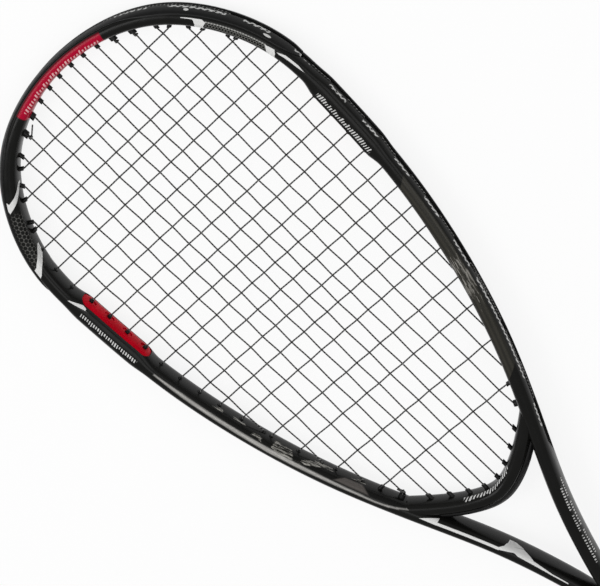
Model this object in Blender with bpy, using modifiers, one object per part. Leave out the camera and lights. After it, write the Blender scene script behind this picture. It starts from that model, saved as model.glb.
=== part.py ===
"""Speed badminton racket, lying flat with its string bed in the plane z = 0.

X runs across the head, Y from the butt to the tip, Z up through the string bed.
The origin is the centre of the butt cap's end face. All lengths are in metres.
"""

import math

import bmesh
import bpy
import numpy as np
from mathutils import Matrix

COLLECTION_NAME = "speed_badminton_racket"

# Overall layout along the racket
TIP_Y = 0.5953
BRIDGE_Y = 0.2512
WINDOW_APEX_Y = 0.172
LEG_END_Y = 0.006

# Centreline of the moulded hoop and its shafts
HEAD_HALF_WIDTH = 0.0985
WIDEST_BELOW_TIP = 0.086
LEG_OFFSET = 0.0044

# Cross-section of the hoop
HOOP_HALF_DEPTH = 0.0085
TIP_HALF_DEPTH = 0.0076
HOOP_HALF_WIDTH = 0.0049
TIP_HALF_WIDTH = 0.0038
SHAFT_HALF_WIDTH = 0.0048
SHAFT_HALF_DEPTH = 0.0092
GROOVE_HALF_WIDTH = 0.0032
GROOVE_DEPTH = 0.0025
SECTION_POWER = 2.6

# Blade zones at the sides of the hoop, which hold the red inserts
BLADE_BULGE = 0.0028
BLADE_OUTER_BULGE = 0.0010
BLADE_RAMP = 0.014
BLADE_FIRST_CROSS = 6
BLADE_LAST_CROSS = 9
INSERT_MARGIN = 0.0052
INSERT_DEPTH = 0.0032
INSERT_HALF_HEIGHT = 0.0066
INSERT_ROUNDING = 0.0050
PORT_HALF_LENGTH = 0.0036
PORT_HALF_HEIGHT = 0.0026
PORT_DEPTH = 0.0012

# String bed
STRING_RADIUS = 0.0004
WEAVE_OFFSET = 0.00056
MAINS_EACH_SIDE = 8
MAIN_HALF_GAP = 0.0048
MAIN_WIDENING = 0.011
OUTER_MAIN_MARGIN = 0.0160
FAN_FROM = 5
FAN_SHARE = 0.046
FAN_LENGTH = 0.225
TOP_CROSS_BELOW_TIP = 0.0273
CROSS_STEP = 0.0134
WIDER_ABOVE_BRIDGE = 0.150
CROSS_WIDENING = 0.151
LAST_CROSS_ABOVE_BRIDGE = 0.030

# Grommet strips and barrels
FIT_GAP = 0.0003
STRIP_THICKNESS = 0.0010
BARREL_RADIUS = 0.0013
BARREL_REACH = 0.0024
BORE_RADIUS = 0.00078
TIE_BARREL_RADIUS = 0.0020
TIE_BORE_RADIUS = 0.00145
HOLE_SPACING = 0.0046
LEAN_LIMIT = math.radians(62)
FLUSH_REACH = 0.0004
CHANNEL_HALF_WIDTH = 0.0021
BUMPER_THICKNESS = 0.0009
BUMPER_HALF_HEIGHT = 0.0062
BUMPER_LAST_CROSS = 5
SIDE_STRIP_GAP = 0.0015
STRIP_PAST_HOLE = 0.0050

# Strings outside the wall and their knots
LOOP_SHIFT = 0.00115
LANE_CHANGE = 0.0022
LOOP_CLEARANCE = 0.0003
TAIL_CLEARANCE = 0.00045
TIE_SHIFT = 0.00065
MOUTH_CLEARANCE = 0.0003
CROSSING_MARGIN = 0.0012
KNOT_RADIUS = 0.00134
KNOT_PITCH = 0.00128
KNOT_TURNS = 2
KNOT_STEPS = 8
KNOT_TAIL = 0.0045
MAIN_TIE_LEFT = ("top", 4)
MAIN_TIE_RIGHT = ("top", 3)
CROSS_TIE_HEAD = ("top", 4)
CROSS_TIE_THROAT = ("foot", 4)
TIED_HOLES = {MAIN_TIE_LEFT, MAIN_TIE_RIGHT, CROSS_TIE_HEAD, CROSS_TIE_THROAT}

# Throat bridge
BRIDGE_MAINS = 4
BRIDGE_HALF_WIDTH = 0.0047
BRIDGE_HALF_DEPTH = 0.0078
BRIDGE_GROOVE_FADE = 0.0050
BRIDGE_STRIP_PAST_HOLE = 0.0030

# Handle
HANDLE_TOP_Y = 0.154
HANDLE_HALF_WIDTH = 0.0146
HANDLE_HALF_DEPTH = 0.0122
HANDLE_CORNER = 0.0056
BUTT_FLARE = 0.0030
BUTT_FLARE_END_Y = 0.0160
GRIP_THICKNESS = 0.0019
GRIP_PITCH = 0.0245
GRIP_SEAM = 0.0006
GRIP_EDGE = 0.0004
BACK_FLAT = 5
GRIP_TOP_Y = 0.150
TAPE_BOTTOM_Y = 0.1425
TAPE_TOP_Y = 0.1505
TAPE_THICKNESS = 0.0006
COLLAR_BOTTOM_Y = 0.1465
COLLAR_TOP_Y = 0.1670
COLLAR_SHOULDER_Y = 0.1565
COLLAR_WALL = 0.0012
CAP_LENGTH = 0.0165
CAP_FLOOR = 0.0032
CAP_WALL = 0.0019
CAP_ROUNDING = 0.0016
TACK_ABOVE_CAP = 0.0060
TACK_HEAD_RADIUS = 0.0030
TACK_HEAD_HEIGHT = 0.0009
TACK_SHANK_RADIUS = 0.0006
TACK_SHANK_LENGTH = 0.0042
STAPLE_Y = 0.0105
STAPLE_HALF_SPAN = 0.0045
STAPLE_WIRE_RADIUS = 0.00045
STAPLE_LEG = 0.0046

# Mesh fineness
HOOP_STATION = 0.0128
SHAFT_STATION = 0.0180
BRIDGE_STATION = 0.0085

# Rounds of the settling loops
EXIT_ROUNDS = 6
SPREAD_ROUNDS = 200
LEAN_ROUNDS = 20
LEAN_EASE = 0.85


def smoothstep(value, start, end):
    """0 before start, 1 after end, and a smooth climb between them."""
    share = np.clip((value - start) / (end - start), 0.0, 1.0)
    return share * share * (3 - 2 * share)


def cubic_through(points, count):
    """A natural cubic spline through points, as count points evenly spaced by knot distance."""
    points = np.asarray(points, float)
    knots = np.concatenate([[0], np.cumsum(np.linalg.norm(np.diff(points, axis=0), axis=1))])
    gaps = np.diff(knots)
    size = len(points)
    matrix = np.eye(size)
    right = np.zeros_like(points)
    for row in range(1, size - 1):
        before, after = gaps[row - 1], gaps[row]
        matrix[row, row - 1 : row + 2] = before, 2 * (before + after), after
        rise = (points[row + 1] - points[row]) / after - (points[row] - points[row - 1]) / before
        right[row] = 6 * rise
    bend = np.linalg.solve(matrix, right)
    where = np.linspace(0, knots[-1], count)
    cell = np.clip(np.searchsorted(knots, where) - 1, 0, size - 2)
    gap = gaps[cell][:, None]
    left = (knots[cell + 1] - where)[:, None]
    along = (where - knots[cell])[:, None]
    curve = (bend[cell] * left**3 + bend[cell + 1] * along**3) / (6 * gap)
    curve += (points[cell] / gap - bend[cell] * gap / 6) * left
    curve += (points[cell + 1] / gap - bend[cell + 1] * gap / 6) * along
    return curve


class FlatPath:
    """A centreline in the plane z = 0 that can be read at any length along it."""

    def __init__(self, points):
        self.points = np.asarray(points, float)
        steps = np.linalg.norm(np.diff(self.points, axis=0), axis=1)
        self.run = np.concatenate([[0], np.cumsum(steps)])
        self.length = self.run[-1]
        tangent = np.gradient(self.points, self.run, axis=0)
        self.tangent = tangent / np.linalg.norm(tangent, axis=1)[:, None]

    def at(self, run):
        return np.array([np.interp(run, self.run, self.points[:, axis]) for axis in (0, 1)])

    def direction(self, run):
        tangent = np.array([np.interp(run, self.run, self.tangent[:, axis]) for axis in (0, 1)])
        return tangent / np.linalg.norm(tangent)

    def outward(self, run):
        """The normal on the left of the direction of travel."""
        tangent = self.direction(run)
        return np.array([-tangent[1], tangent[0]])

    def nearest(self, point):
        return self.run[np.argmin(np.linalg.norm(self.points - np.asarray(point)[:2], axis=1))]


def head_outline():
    """Half of the hoop's centreline, from the tip round the right side and down the leg."""
    width = HEAD_HALF_WIDTH
    length = TIP_Y - BRIDGE_Y
    widest = WIDEST_BELOW_TIP
    return [
        (0.0, TIP_Y),
        (0.307 * width, TIP_Y - 0.046 * widest),
        (0.617 * width, TIP_Y - 0.210 * widest),
        (0.866 * width, TIP_Y - 0.530 * widest),
        (0.986 * width, TIP_Y - 0.880 * widest),
        (1.002 * width, TIP_Y - 0.335 * length),
        (0.969 * width, TIP_Y - 0.475 * length),
        (0.857 * width, TIP_Y - 0.645 * length),
        (0.672 * width, TIP_Y - 0.810 * length),
        (0.435 * width, TIP_Y - 0.960 * length),
        (0.242 * width, WINDOW_APEX_Y + 0.660 * (BRIDGE_Y - WINDOW_APEX_Y)),
        (0.116 * width, WINDOW_APEX_Y + 0.220 * (BRIDGE_Y - WINDOW_APEX_Y)),
        (LEG_OFFSET, WINDOW_APEX_Y - 0.010),
        (LEG_OFFSET, 0.5 * WINDOW_APEX_Y),
        (LEG_OFFSET, LEG_END_Y),
    ]


def hoop_path():
    """The whole centreline, from the left leg's end over the tip to the right leg's end."""
    half = head_outline()
    left = [(-x, y) for x, y in reversed(half[1:])]
    return FlatPath(cubic_through(left + half, 4001))


HOOP = hoop_path()
TIP_RUN = HOOP.length / 2


def main_x():
    """Distances of the mains from the long axis, innermost first, wider apart at the sides."""
    shares = np.cumsum([1 + MAIN_WIDENING * turn**2 for turn in range(1, MAINS_EACH_SIDE)])
    room = HEAD_HALF_WIDTH - OUTER_MAIN_MARGIN - MAIN_HALF_GAP
    return MAIN_HALF_GAP + room * np.concatenate([[0], shares / shares[-1]])


def cross_y():
    """Heights of the crosses, topmost first, wider apart towards the bridge."""
    heights = [TIP_Y - TOP_CROSS_BELOW_TIP]
    while True:
        lack = BRIDGE_Y + WIDER_ABOVE_BRIDGE - heights[-1]
        after = heights[-1] - CROSS_STEP - CROSS_WIDENING * max(0.0, lack)
        if after < BRIDGE_Y + LAST_CROSS_ABOVE_BRIDGE:
            return np.array(heights)
        heights.append(after)


MAINS = main_x()
CROSSES = cross_y()
CROSS_COUNT = len(CROSSES)
BLADE_TOP_Y = CROSSES[BLADE_FIRST_CROSS] + INSERT_MARGIN
BLADE_BOTTOM_Y = CROSSES[BLADE_LAST_CROSS] - INSERT_MARGIN


def blade_share_at(y):
    """1 along a blade insert and 0 on the plain hoop above and below it."""
    half_ramp = BLADE_RAMP / 2
    above = smoothstep(y, BLADE_BOTTOM_Y - half_ramp, BLADE_BOTTOM_Y + half_ramp)
    return above * (1 - smoothstep(y, BLADE_TOP_Y - half_ramp, BLADE_TOP_Y + half_ramp))


def section_sizes(run):
    """Outer and inner half widths and the half depth of the hoop at a length along it."""
    x, y = HOOP.at(run)
    from_tip = abs(run - TIP_RUN)
    shaft = 1 - smoothstep(y, BRIDGE_Y - 0.045, BRIDGE_Y + 0.05)
    side = smoothstep(from_tip, 0.02, 0.11)
    width = TIP_HALF_WIDTH + (HOOP_HALF_WIDTH - TIP_HALF_WIDTH) * smoothstep(from_tip, 0.005, 0.085)
    width += (SHAFT_HALF_WIDTH - HOOP_HALF_WIDTH) * shaft
    depth = TIP_HALF_DEPTH + (HOOP_HALF_DEPTH - TIP_HALF_DEPTH) * side
    depth += (SHAFT_HALF_DEPTH - HOOP_HALF_DEPTH) * shaft
    blade = blade_share_at(y)
    return width + BLADE_OUTER_BULGE * blade, width + BLADE_BULGE * blade, depth


def groove_share_at(y):
    """The string groove runs round the head and fades out on the shafts."""
    return smoothstep(y, BRIDGE_Y - 0.004, BRIDGE_Y + 0.016)


def oval(half_width, half_depth, angle):
    """A point on a squared oval."""
    power = 2 / SECTION_POWER
    across = half_width * math.copysign(abs(math.cos(angle)) ** power, math.cos(angle))
    up = half_depth * math.copysign(abs(math.sin(angle)) ** power, math.sin(angle))
    return across, up


def oval_width(half_width, half_depth, up):
    """Half the squared oval's width at a height above its middle."""
    return half_width * (1 - abs(up / half_depth) ** SECTION_POWER) ** (1 / SECTION_POWER)


CREST_ANGLES = [math.radians(angle) for angle in (38, 65, 93, 125, 158)]


def grooved_section(outer, inner, depth, groove, grow=0.0):
    """Points (outward, up) round a moulded tube with a string groove on its outer side."""
    outer, inner, depth = outer + grow, inner + grow, depth + grow
    edge = GROOVE_HALF_WIDTH - grow
    floor_edge = edge * (0.5 + 0.5 * groove)
    floor = oval_width(outer, depth, floor_edge) - GROOVE_DEPTH * groove
    top = [(floor, floor_edge), (oval_width(outer, depth, edge), edge)]
    for angle in CREST_ANGLES:
        top.append(oval(inner if angle > math.pi / 2 + 0.01 else outer, depth, angle))
    bottom = [(across, -up) for across, up in reversed(top)]
    return top + bottom


def hoop_section(run, grow=0.0, grooved=True):
    groove = groove_share_at(HOOP.at(run)[1]) if grooved else 0.0
    return grooved_section(*section_sizes(run), groove, grow)


def place(path, run, section):
    """Section points (outward, up) set square to the path at a length along it."""
    x, y = path.at(run)
    outward = path.outward(run)
    return [(x + outward[0] * across, y + outward[1] * across, up) for across, up in section]


def material(name, colour, roughness, metallic=0.0):
    made = bpy.data.materials.new(name)
    made.use_nodes = True
    shader = made.node_tree.nodes["Principled BSDF"]
    shader.inputs["Base Color"].default_value = (*colour, 1.0)
    shader.inputs["Roughness"].default_value = roughness
    shader.inputs["Metallic"].default_value = metallic
    made.diffuse_color = (*colour, 1.0)
    return made


def object_from(name, mesh, collection, finish=None):
    made = bpy.data.objects.new(name, mesh)
    if finish is not None:
        mesh.materials.append(finish)
    collection.objects.link(made)
    return made


def mesh_from(name, bm):
    """A mesh with its normals facing out, smooth but for its sharp edges."""
    bmesh.ops.recalc_face_normals(bm, faces=bm.faces)
    mesh = bpy.data.meshes.new(name)
    bm.to_mesh(mesh)
    bm.free()
    mesh.shade_smooth()
    mesh.set_sharp_from_angle(angle=math.radians(40))
    return mesh


def loft(name, rings):
    """A skin through rings of equally many points, closed at both ends."""
    bm = bmesh.new()
    loops = [[bm.verts.new(point) for point in ring] for ring in rings]
    for first, second in zip(loops, loops[1:]):
        for turn in range(len(first)):
            after = (turn + 1) % len(first)
            bm.faces.new((first[turn], first[after], second[after], second[turn]))
    bm.faces.new(loops[0])
    bm.faces.new(loops[-1])
    return mesh_from(name, bm)


def cutter(name, mesh, collection):
    made = object_from(name, mesh, collection)
    made.hide_render = True
    made.display_type = "WIRE"
    return made


def boolean(target, tool, operation="DIFFERENCE"):
    step = target.modifiers.new(operation.lower() + "_" + tool.name, "BOOLEAN")
    step.operation = operation
    step.solver = "EXACT"
    step.object = tool
    return step


def settle(target):
    """Applies a piece's modifiers, so that later pieces can be cut from the result."""
    graph = bpy.context.evaluated_depsgraph_get()
    mesh = bpy.data.meshes.new_from_object(target.evaluated_get(graph))
    target.modifiers.clear()
    target.data = mesh
    return target


def stations_along(length, start, end):
    """Lengths from start to end, close to evenly spaced."""
    return np.linspace(start, end, math.ceil(abs(end - start) / length) + 1)


def hoop_stations():
    """Lengths along the whole hoop at which its sections stand, alike on both sides."""
    heights = HOOP.points[:, 1]
    throat = HOOP.run[heights > BRIDGE_Y - 0.004][-1] - TIP_RUN
    legs = HOOP.run[heights > WINDOW_APEX_Y - 0.018][-1] - TIP_RUN
    head = stations_along(HOOP_STATION, 0.0, throat)
    half = np.concatenate([head, stations_along(SHAFT_STATION, throat, legs)[1:]])
    return TIP_RUN + np.concatenate([-half[:0:-1], half])


HOOP_STATIONS = hoop_stations()


def hoop_blank(name, collection, grow=0.0, grooved=True):
    """The hoop before it is drilled: the right half, cut at x = 0 and mirrored."""
    right = HOOP_STATIONS[HOOP_STATIONS > TIP_RUN + HOOP_STATION / 2]
    runs = [TIP_RUN - FIT_GAP, *right, HOOP.length + grow]
    rings = [place(HOOP, run, hoop_section(run, grow, grooved)) for run in runs]
    blank = cutter(name, loft(name, rings), collection)
    mirror = blank.modifiers.new("mirror", "MIRROR")
    mirror.use_axis = (True, False, False)
    mirror.use_bisect_axis = (True, False, False)
    mirror.merge_threshold = 0.00001
    mirror.bisect_threshold = 0.00001
    return settle(blank)


def bridge_path():
    """The bridge's centreline, from the right shaft's to the left shaft's, sagging between.

    It meets the hoop just outside the first main whose foot is in the hoop.
    """
    half_span = MAINS[BRIDGE_MAINS] + HOOP_HALF_WIDTH
    below = HOOP.points[(HOOP.points[:, 0] > 0) & (HOOP.points[:, 1] < CROSSES[-1])][::-1]
    sag = np.interp(half_span, below[:, 0], below[:, 1]) - BRIDGE_Y
    arch = [(1.0, 1.0), (0.85, 0.785), (0.60, 0.455), (0.30, 0.145)]
    half = [(share * half_span, BRIDGE_Y + rise * sag) for share, rise in arch]
    left = [(-x, y) for x, y in reversed(half)]
    return FlatPath(cubic_through([*half, (0.0, BRIDGE_Y), *left], 801))


BRIDGE = bridge_path()


def bridge_sizes(run):
    return BRIDGE_HALF_WIDTH, BRIDGE_HALF_WIDTH, BRIDGE_HALF_DEPTH


class Wall:
    """The hoop or the bridge, with the line of barrel mouths on its string side."""

    def __init__(self, path, sizes_at, hidden_behind=None):
        self.path, self.sizes_at = path, sizes_at
        mouths = []
        for run in path.run:
            mouths.append(path.at(run) - path.outward(run) * (sizes_at(run)[1] + self.reach(run)))
        self.mouths = np.array(mouths)
        self.open = np.full(len(mouths), True)
        if hidden_behind is not None:
            for index, mouth in enumerate(mouths):
                run = hidden_behind.path.nearest(mouth)
                cover = hidden_behind.sizes_at(run)[1] + hidden_behind.reach(run)
                self.open[index] = np.linalg.norm(hidden_behind.path.at(run) - mouth) > cover

    def reach(self, run):
        """How far a barrel stands out of the wall: long for the mains and round the bridge."""
        x, y = self.path.at(run)
        past_mains = abs(x) > MAINS[-1] + HOOP_HALF_WIDTH + BARREL_REACH
        beside = past_mains or y < (TIP_Y + BRIDGE_Y) / 2
        return FLUSH_REACH if self.path is HOOP and beside and y > CROSSES[-1] else BARREL_REACH

    def floor(self, run):
        """The bottom of the string groove, outward of the centreline."""
        outer, _, depth = self.sizes_at(run)
        return oval_width(outer, depth, GROOVE_HALF_WIDTH) - GROOVE_DEPTH

    def channel(self, run, height, up=0.0):
        """A point this high above the string channel's floor."""
        x, y = self.path.at(run) + self.path.outward(run) * (self.floor(run) + height)
        return np.array([x, y, up])

    def meet(self, start, way):
        """Where a string's line first meets a barrel mouth, as (distance, length along)."""
        rel = self.mouths - start
        ahead = rel @ way
        side = rel[:, 0] * way[1] - rel[:, 1] * way[0]
        crossed = (side[:-1] * side[1:] <= 0) & (ahead[:-1] > 0) & self.open[:-1]
        found = np.where(crossed)[0]
        if not len(found):
            return math.inf, 0.0
        nearest = found[np.argmin(ahead[found])]
        share = side[nearest] / (side[nearest] - side[nearest + 1])
        run = self.path.run[nearest]
        return ahead[nearest], run + share * (self.path.run[nearest + 1] - run)

    def lean(self, run, way):
        """The barrel's turn from the wall's normal towards its string.

        On the bridge the barrels stand along the strings. On the hoop they lean less
        where the string comes in at a shallow angle.
        """
        normal = self.path.outward(run)
        turn = math.atan2(normal[0] * way[1] - normal[1] * way[0], normal @ way)
        if self.path is BRIDGE:
            return turn
        return turn * max(0.0, 1 - (turn / LEAN_LIMIT) ** 2)


HOOP_WALL = Wall(HOOP, section_sizes)
BRIDGE_WALL = Wall(BRIDGE, bridge_sizes, hidden_behind=HOOP_WALL)


class Hole:
    """One string hole through a wall, leaning in the string bed's plane."""

    def __init__(self, wall, run, lean, tied=False):
        self.wall, self.run, self.lean, self.tied = wall, run, lean, tied
        normal = wall.path.outward(run)
        cos, sin = math.cos(lean), math.sin(lean)
        self.way = np.array([normal[0] * cos - normal[1] * sin, normal[0] * sin + normal[1] * cos])
        self.mouth = wall.path.at(run) - normal * (wall.sizes_at(run)[1] + wall.reach(run))
        self.exit_run = self.out_to(STRIP_THICKNESS)[1]

    def mirrored(self):
        return Hole(self.wall, self.wall.path.length - self.run, -self.lean, self.tied)

    def inside(self, before, up=0.0):
        """A point on the axis, this far before the mouth."""
        x, y = self.mouth - self.way * before
        return np.array([x, y, up])

    def out_to(self, height, up=0.0):
        """The axis point this high above the channel's floor, and its length along the wall."""
        spot, run = self.mouth, self.run
        for _ in range(EXIT_ROUNDS):
            run = self.wall.path.nearest(spot)
            normal = self.wall.path.outward(run)
            lack = self.wall.floor(run) + height - (spot - self.wall.path.at(run)) @ normal
            spot = spot + self.way * lack / (self.way @ normal)
        return np.array([spot[0], spot[1], up]), run


def main_slope(index):
    """The outermost mains are drawn in towards the throat."""
    return MAINS[index] * FAN_SHARE * max(0, index - FAN_FROM) / FAN_LENGTH


def wanted_hole(start, way):
    """The wall that a string's straight line meets first, the place there and the lean."""
    way = np.asarray(way, float) / np.linalg.norm(way)
    found = []
    for wall in (HOOP_WALL, BRIDGE_WALL):
        distance, run = wall.meet(np.asarray(start, float), way)
        found.append((distance, run, wall))
    _, run, wall = min(found, key=lambda item: item[0])
    return wall, run, wall.lean(run, way)


def spread_holes(wanted):
    """Holes along one wall, moved apart and turned upright until none is too near its neighbour."""
    runs = np.array([item["run"] for item in wanted])
    leans = [item["lean"] for item in wanted]
    for _ in range(SPREAD_ROUNDS):
        push = np.clip(HOLE_SPACING - np.diff(runs), 0, None) / 2
        runs[:-1] -= push
        runs[1:] += push
    for _ in range(LEAN_ROUNDS):
        holes = []
        for item, run, lean in zip(wanted, runs, leans):
            holes.append(Hole(item["wall"], run, lean, item["tied"]))
        for index, (first, second) in enumerate(zip(holes, holes[1:])):
            if abs(first.exit_run - second.exit_run) < HOLE_SPACING:
                leans[index] *= LEAN_EASE
                leans[index + 1] *= LEAN_EASE
    return dict(zip((item["name"] for item in wanted), holes))


def right_holes():
    """All holes of the right half, by name: ("top", main), ("foot", main) and ("cross", cross)."""
    middle = (CROSSES[0] + CROSSES[-1]) / 2
    wanted = []
    for index, x in enumerate(MAINS):
        slope = main_slope(index)
        start = (x + slope * (middle - CROSSES[1]), middle)
        for name, way in (("top", (slope, 1.0)), ("foot", (-slope, -1.0))):
            wall, run, lean = wanted_hole(start, way)
            tied = (name, index) in TIED_HOLES
            item = {"name": (name, index), "wall": wall, "run": run, "lean": lean, "tied": tied}
            wanted.append(item | {"order": run - LANE_CHANGE})
    for index, y in enumerate(CROSSES):
        wall, run, lean = wanted_hole((0.0, y), (1.0, 0.0))
        item = {"name": ("cross", index), "wall": wall, "run": run, "lean": lean, "tied": False}
        wanted.append(item | {"order": run})
    wanted.sort(key=lambda item: item["order"])
    holes = {}
    for wall in (HOOP_WALL, BRIDGE_WALL):
        holes |= spread_holes([item for item in wanted if item["wall"] is wall])
    return holes


RIGHT = right_holes()
LEFT = {name: hole.mirrored() for name, hole in RIGHT.items()}


def holes_on(wall):
    return [hole for side in (LEFT, RIGHT) for hole in side.values() if hole.wall is wall]


def bridge_groove_reach():
    """How far the bridge's groove goes from its middle, just past its last hole."""
    reaches = [abs(hole.exit_run - BRIDGE.length / 2) for hole in holes_on(BRIDGE_WALL)]
    return max(reaches) + BRIDGE_STRIP_PAST_HOLE


def bridge_stations():
    middle, reach = BRIDGE.length / 2, bridge_groove_reach()
    fades = [middle - reach - BRIDGE_GROOVE_FADE, middle + reach + BRIDGE_GROOVE_FADE]
    grooved = stations_along(BRIDGE_STATION, middle - reach, middle + reach)
    return np.array([0.0, fades[0], *grooved, fades[1], BRIDGE.length])


STATIONS = {HOOP_WALL: HOOP_STATIONS, BRIDGE_WALL: bridge_stations()}
STRING_LANE = FIT_GAP + STRIP_THICKNESS + LOOP_CLEARANCE + STRING_RADIUS
TAIL_LANE = STRING_LANE + 2 * STRING_RADIUS + TAIL_CLEARANCE


def prism(bm, ends, way, sizes, sides):
    """A straight prism in the string bed's plane; each end is a point and its face's normal."""
    along = np.array([*way, 0.0])
    across = np.array([-way[1], way[0], 0.0])
    loops = []
    for point, normal in ends:
        ring = []
        for turn in range(sides):
            angle = 2 * math.pi * (turn + 0.5) / sides
            offset = across * math.cos(angle) * sizes[0]
            offset = offset - along * (offset[:2] @ normal) / (along[:2] @ normal)
            offset[2] = math.sin(angle) * sizes[1]
            ring.append(bm.verts.new(point + offset))
        loops.append(ring)
    for turn in range(sides):
        after = (turn + 1) % sides
        bm.faces.new((loops[0][turn], loops[0][after], loops[1][after], loops[1][turn]))
    bm.faces.new(loops[0])
    bm.faces.new(loops[1])


def hole_rods(name, holes, radius, tie_radius, before, height):
    """Rods on the axes of holes, thicker and rounder where a string is tied off."""
    bm = bmesh.new()
    for hole in holes:
        end, run = hole.out_to(height)
        normals = hole.wall.path.outward(hole.run), hole.wall.path.outward(run)
        size = tie_radius if hole.tied else radius
        ends = (hole.inside(before), normals[0]), (end, normals[1])
        prism(bm, ends, hole.way, (size, size), 8 if hole.tied else 6)
    return mesh_from(name, bm)


def clearance_rods(name, holes):
    """Room through a wall for its barrels."""
    past = GROOVE_DEPTH + FIT_GAP
    return hole_rods(name, holes, BARREL_RADIUS + FIT_GAP, TIE_BARREL_RADIUS + FIT_GAP, past, past)


def swept(name, path, runs, section_at):
    return loft(name, [place(path, run, section_at(run)) for run in runs])


def both_ways(top):
    """A closed section from its points above the string bed."""
    return top + [(across, -up) for across, up in reversed(top)]


def runs_between(wall, start, end):
    """The wall's stations between two lengths, with the two ends."""
    margin = HOOP_STATION / 8
    inner = [run for run in STATIONS[wall] if start + margin < run < end - margin]
    return [start, *inner, end]


def strip_section(wall):
    """A flat strip in the string groove."""

    def section(run):
        low = wall.floor(run) + FIT_GAP
        high = low + STRIP_THICKNESS
        return both_ways([(high, GROOVE_HALF_WIDTH - FIT_GAP), (low, GROOVE_HALF_WIDTH - FIT_GAP)])

    return section


def bumper_section(run):
    """The bumper: a strip in the groove, two webs beside the strings and a flange over each crown."""
    outer, _, depth = section_sizes(run)
    low = HOOP_WALL.floor(run) + FIT_GAP
    web = GROOVE_HALF_WIDTH - FIT_GAP
    skin = FIT_GAP + BUMPER_THICKNESS

    def under(up):
        return oval_width(outer + FIT_GAP, depth + FIT_GAP, up), up

    def over(up):
        return oval_width(outer + skin, depth + skin, up), up

    middle = (web + BUMPER_HALF_HEIGHT) / 2
    top = [
        (low + STRIP_THICKNESS, CHANNEL_HALF_WIDTH),
        over(CHANNEL_HALF_WIDTH + 0.15 * BUMPER_THICKNESS),
        over(middle + 0.2 * BUMPER_THICKNESS),
        over(BUMPER_HALF_HEIGHT),
        under(BUMPER_HALF_HEIGHT + 0.25 * BUMPER_THICKNESS),
        under(middle),
        under(web),
        (low, web),
    ]
    return both_ways(top)


def grommet_strip(name, finish, wall, runs, section_at, parts, cutters):
    """A strip with a barrel through the wall at each of its holes, bored for the strings."""
    strip = object_from(name, swept(name, wall.path, runs, section_at), parts, finish)
    holes = [hole for hole in holes_on(wall) if runs[0] < hole.exit_run < runs[-1]]
    middle = FIT_GAP + STRIP_THICKNESS / 2
    barrels = hole_rods(name + "_barrels", holes, BARREL_RADIUS, TIE_BARREL_RADIUS, 0.0, middle)
    boolean(strip, cutter(name + "_barrels", barrels, cutters), "UNION")
    bores = hole_rods(name + "_bores", holes, BORE_RADIUS, TIE_BORE_RADIUS, BARREL_REACH, STRING_LANE)
    boolean(strip, cutter(name + "_bores", bores, cutters))
    return strip


def bridge_section(run):
    reach = bridge_groove_reach()
    away = abs(run - BRIDGE.length / 2)
    groove = 1 - smoothstep(away, reach, reach + BRIDGE_GROOVE_FADE)
    return grooved_section(*bridge_sizes(run), groove)


def insert_ends(side):
    """Lengths along the hoop between which a blade insert lies."""
    half = HOOP.points[:, 0] * side > 0
    heights = np.where(half, HOOP.points[:, 1], np.inf)
    ends = [HOOP.run[np.argmin(abs(heights - y))] for y in (BLADE_TOP_Y, BLADE_BOTTOM_Y)]
    return min(ends), max(ends)


def insert_block(name, side, grow=0.0):
    """A band of the hoop's inner face with rounded corners, as deep as the insert."""
    start, end = insert_ends(side)
    start, end = start - grow, end + grow
    steps = [0.0, 0.12, 0.42, 1.0]
    runs = [start + INSERT_ROUNDING * step for step in steps]
    runs += runs_between(HOOP_WALL, runs[-1], end - INSERT_ROUNDING)[1:-1]
    runs += [end - INSERT_ROUNDING * step for step in reversed(steps)]
    rings = []
    for run in runs:
        corner = max(0.0, INSERT_ROUNDING - min(run - start, end - run))
        half = INSERT_HALF_HEIGHT + grow - INSERT_ROUNDING
        half += math.sqrt(max(0.0, INSERT_ROUNDING**2 - corner**2))
        inner = section_sizes(run)[1]
        section = both_ways([(-inner - BLADE_BULGE, half), (INSERT_DEPTH + grow - inner, half)])
        rings.append(place(HOOP, run, section))
    return loft(name, rings)


def blade_ports(name, holes):
    """Oval recesses round the string holes of a blade insert."""
    bm = bmesh.new()
    for hole in holes:
        normal = HOOP.outward(hole.run)
        deep = hole.inside(-FLUSH_REACH - PORT_DEPTH)
        ends = (hole.inside(BLADE_BULGE), normal), (deep, normal)
        prism(bm, ends, hole.way, (PORT_HALF_LENGTH, PORT_HALF_HEIGHT), 10)
    return mesh_from(name, bm)


def hoop_frame(blank, finish, parts, cutters):
    frame = object_from("hoop_frame", blank.data.copy(), parts, finish)
    boolean(frame, cutter("hoop_holes", clearance_rods("hoop_holes", holes_on(HOOP_WALL)), cutters))
    for label, side in (("left", -1), ("right", 1)):
        name = "blade_recess_" + label
        boolean(frame, cutter(name, insert_block(name, side, FIT_GAP), cutters))
    return frame


def throat_bridge(clearance, finish, parts, cutters):
    mesh = swept("throat_bridge", BRIDGE, STATIONS[BRIDGE_WALL], bridge_section)
    bridge = object_from("throat_bridge", mesh, parts, finish)
    boolean(bridge, clearance)
    holes = clearance_rods("bridge_holes", holes_on(BRIDGE_WALL))
    boolean(bridge, cutter("bridge_holes", holes, cutters))
    return bridge


def blade_inserts(blank, finish, parts, cutters):
    """An insert is the part of the plain hoop that its recess takes away, less the fit gap."""
    right = object_from("blade_insert_right", insert_block("blade_insert_right", 1), parts, finish)
    boolean(right, blank, "INTERSECT")
    holes = [RIGHT[("cross", turn)] for turn in range(BLADE_FIRST_CROSS, BLADE_LAST_CROSS + 1)]
    boolean(right, cutter("insert_holes", clearance_rods("insert_holes", holes), cutters))
    boolean(right, cutter("insert_ports", blade_ports("insert_ports", holes), cutters))
    mesh = settle(right).data.copy()
    mesh.transform(Matrix.Scale(-1, 4, (1, 0, 0)))
    mesh.flip_normals()
    object_from("blade_insert_left", mesh, parts)


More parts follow.
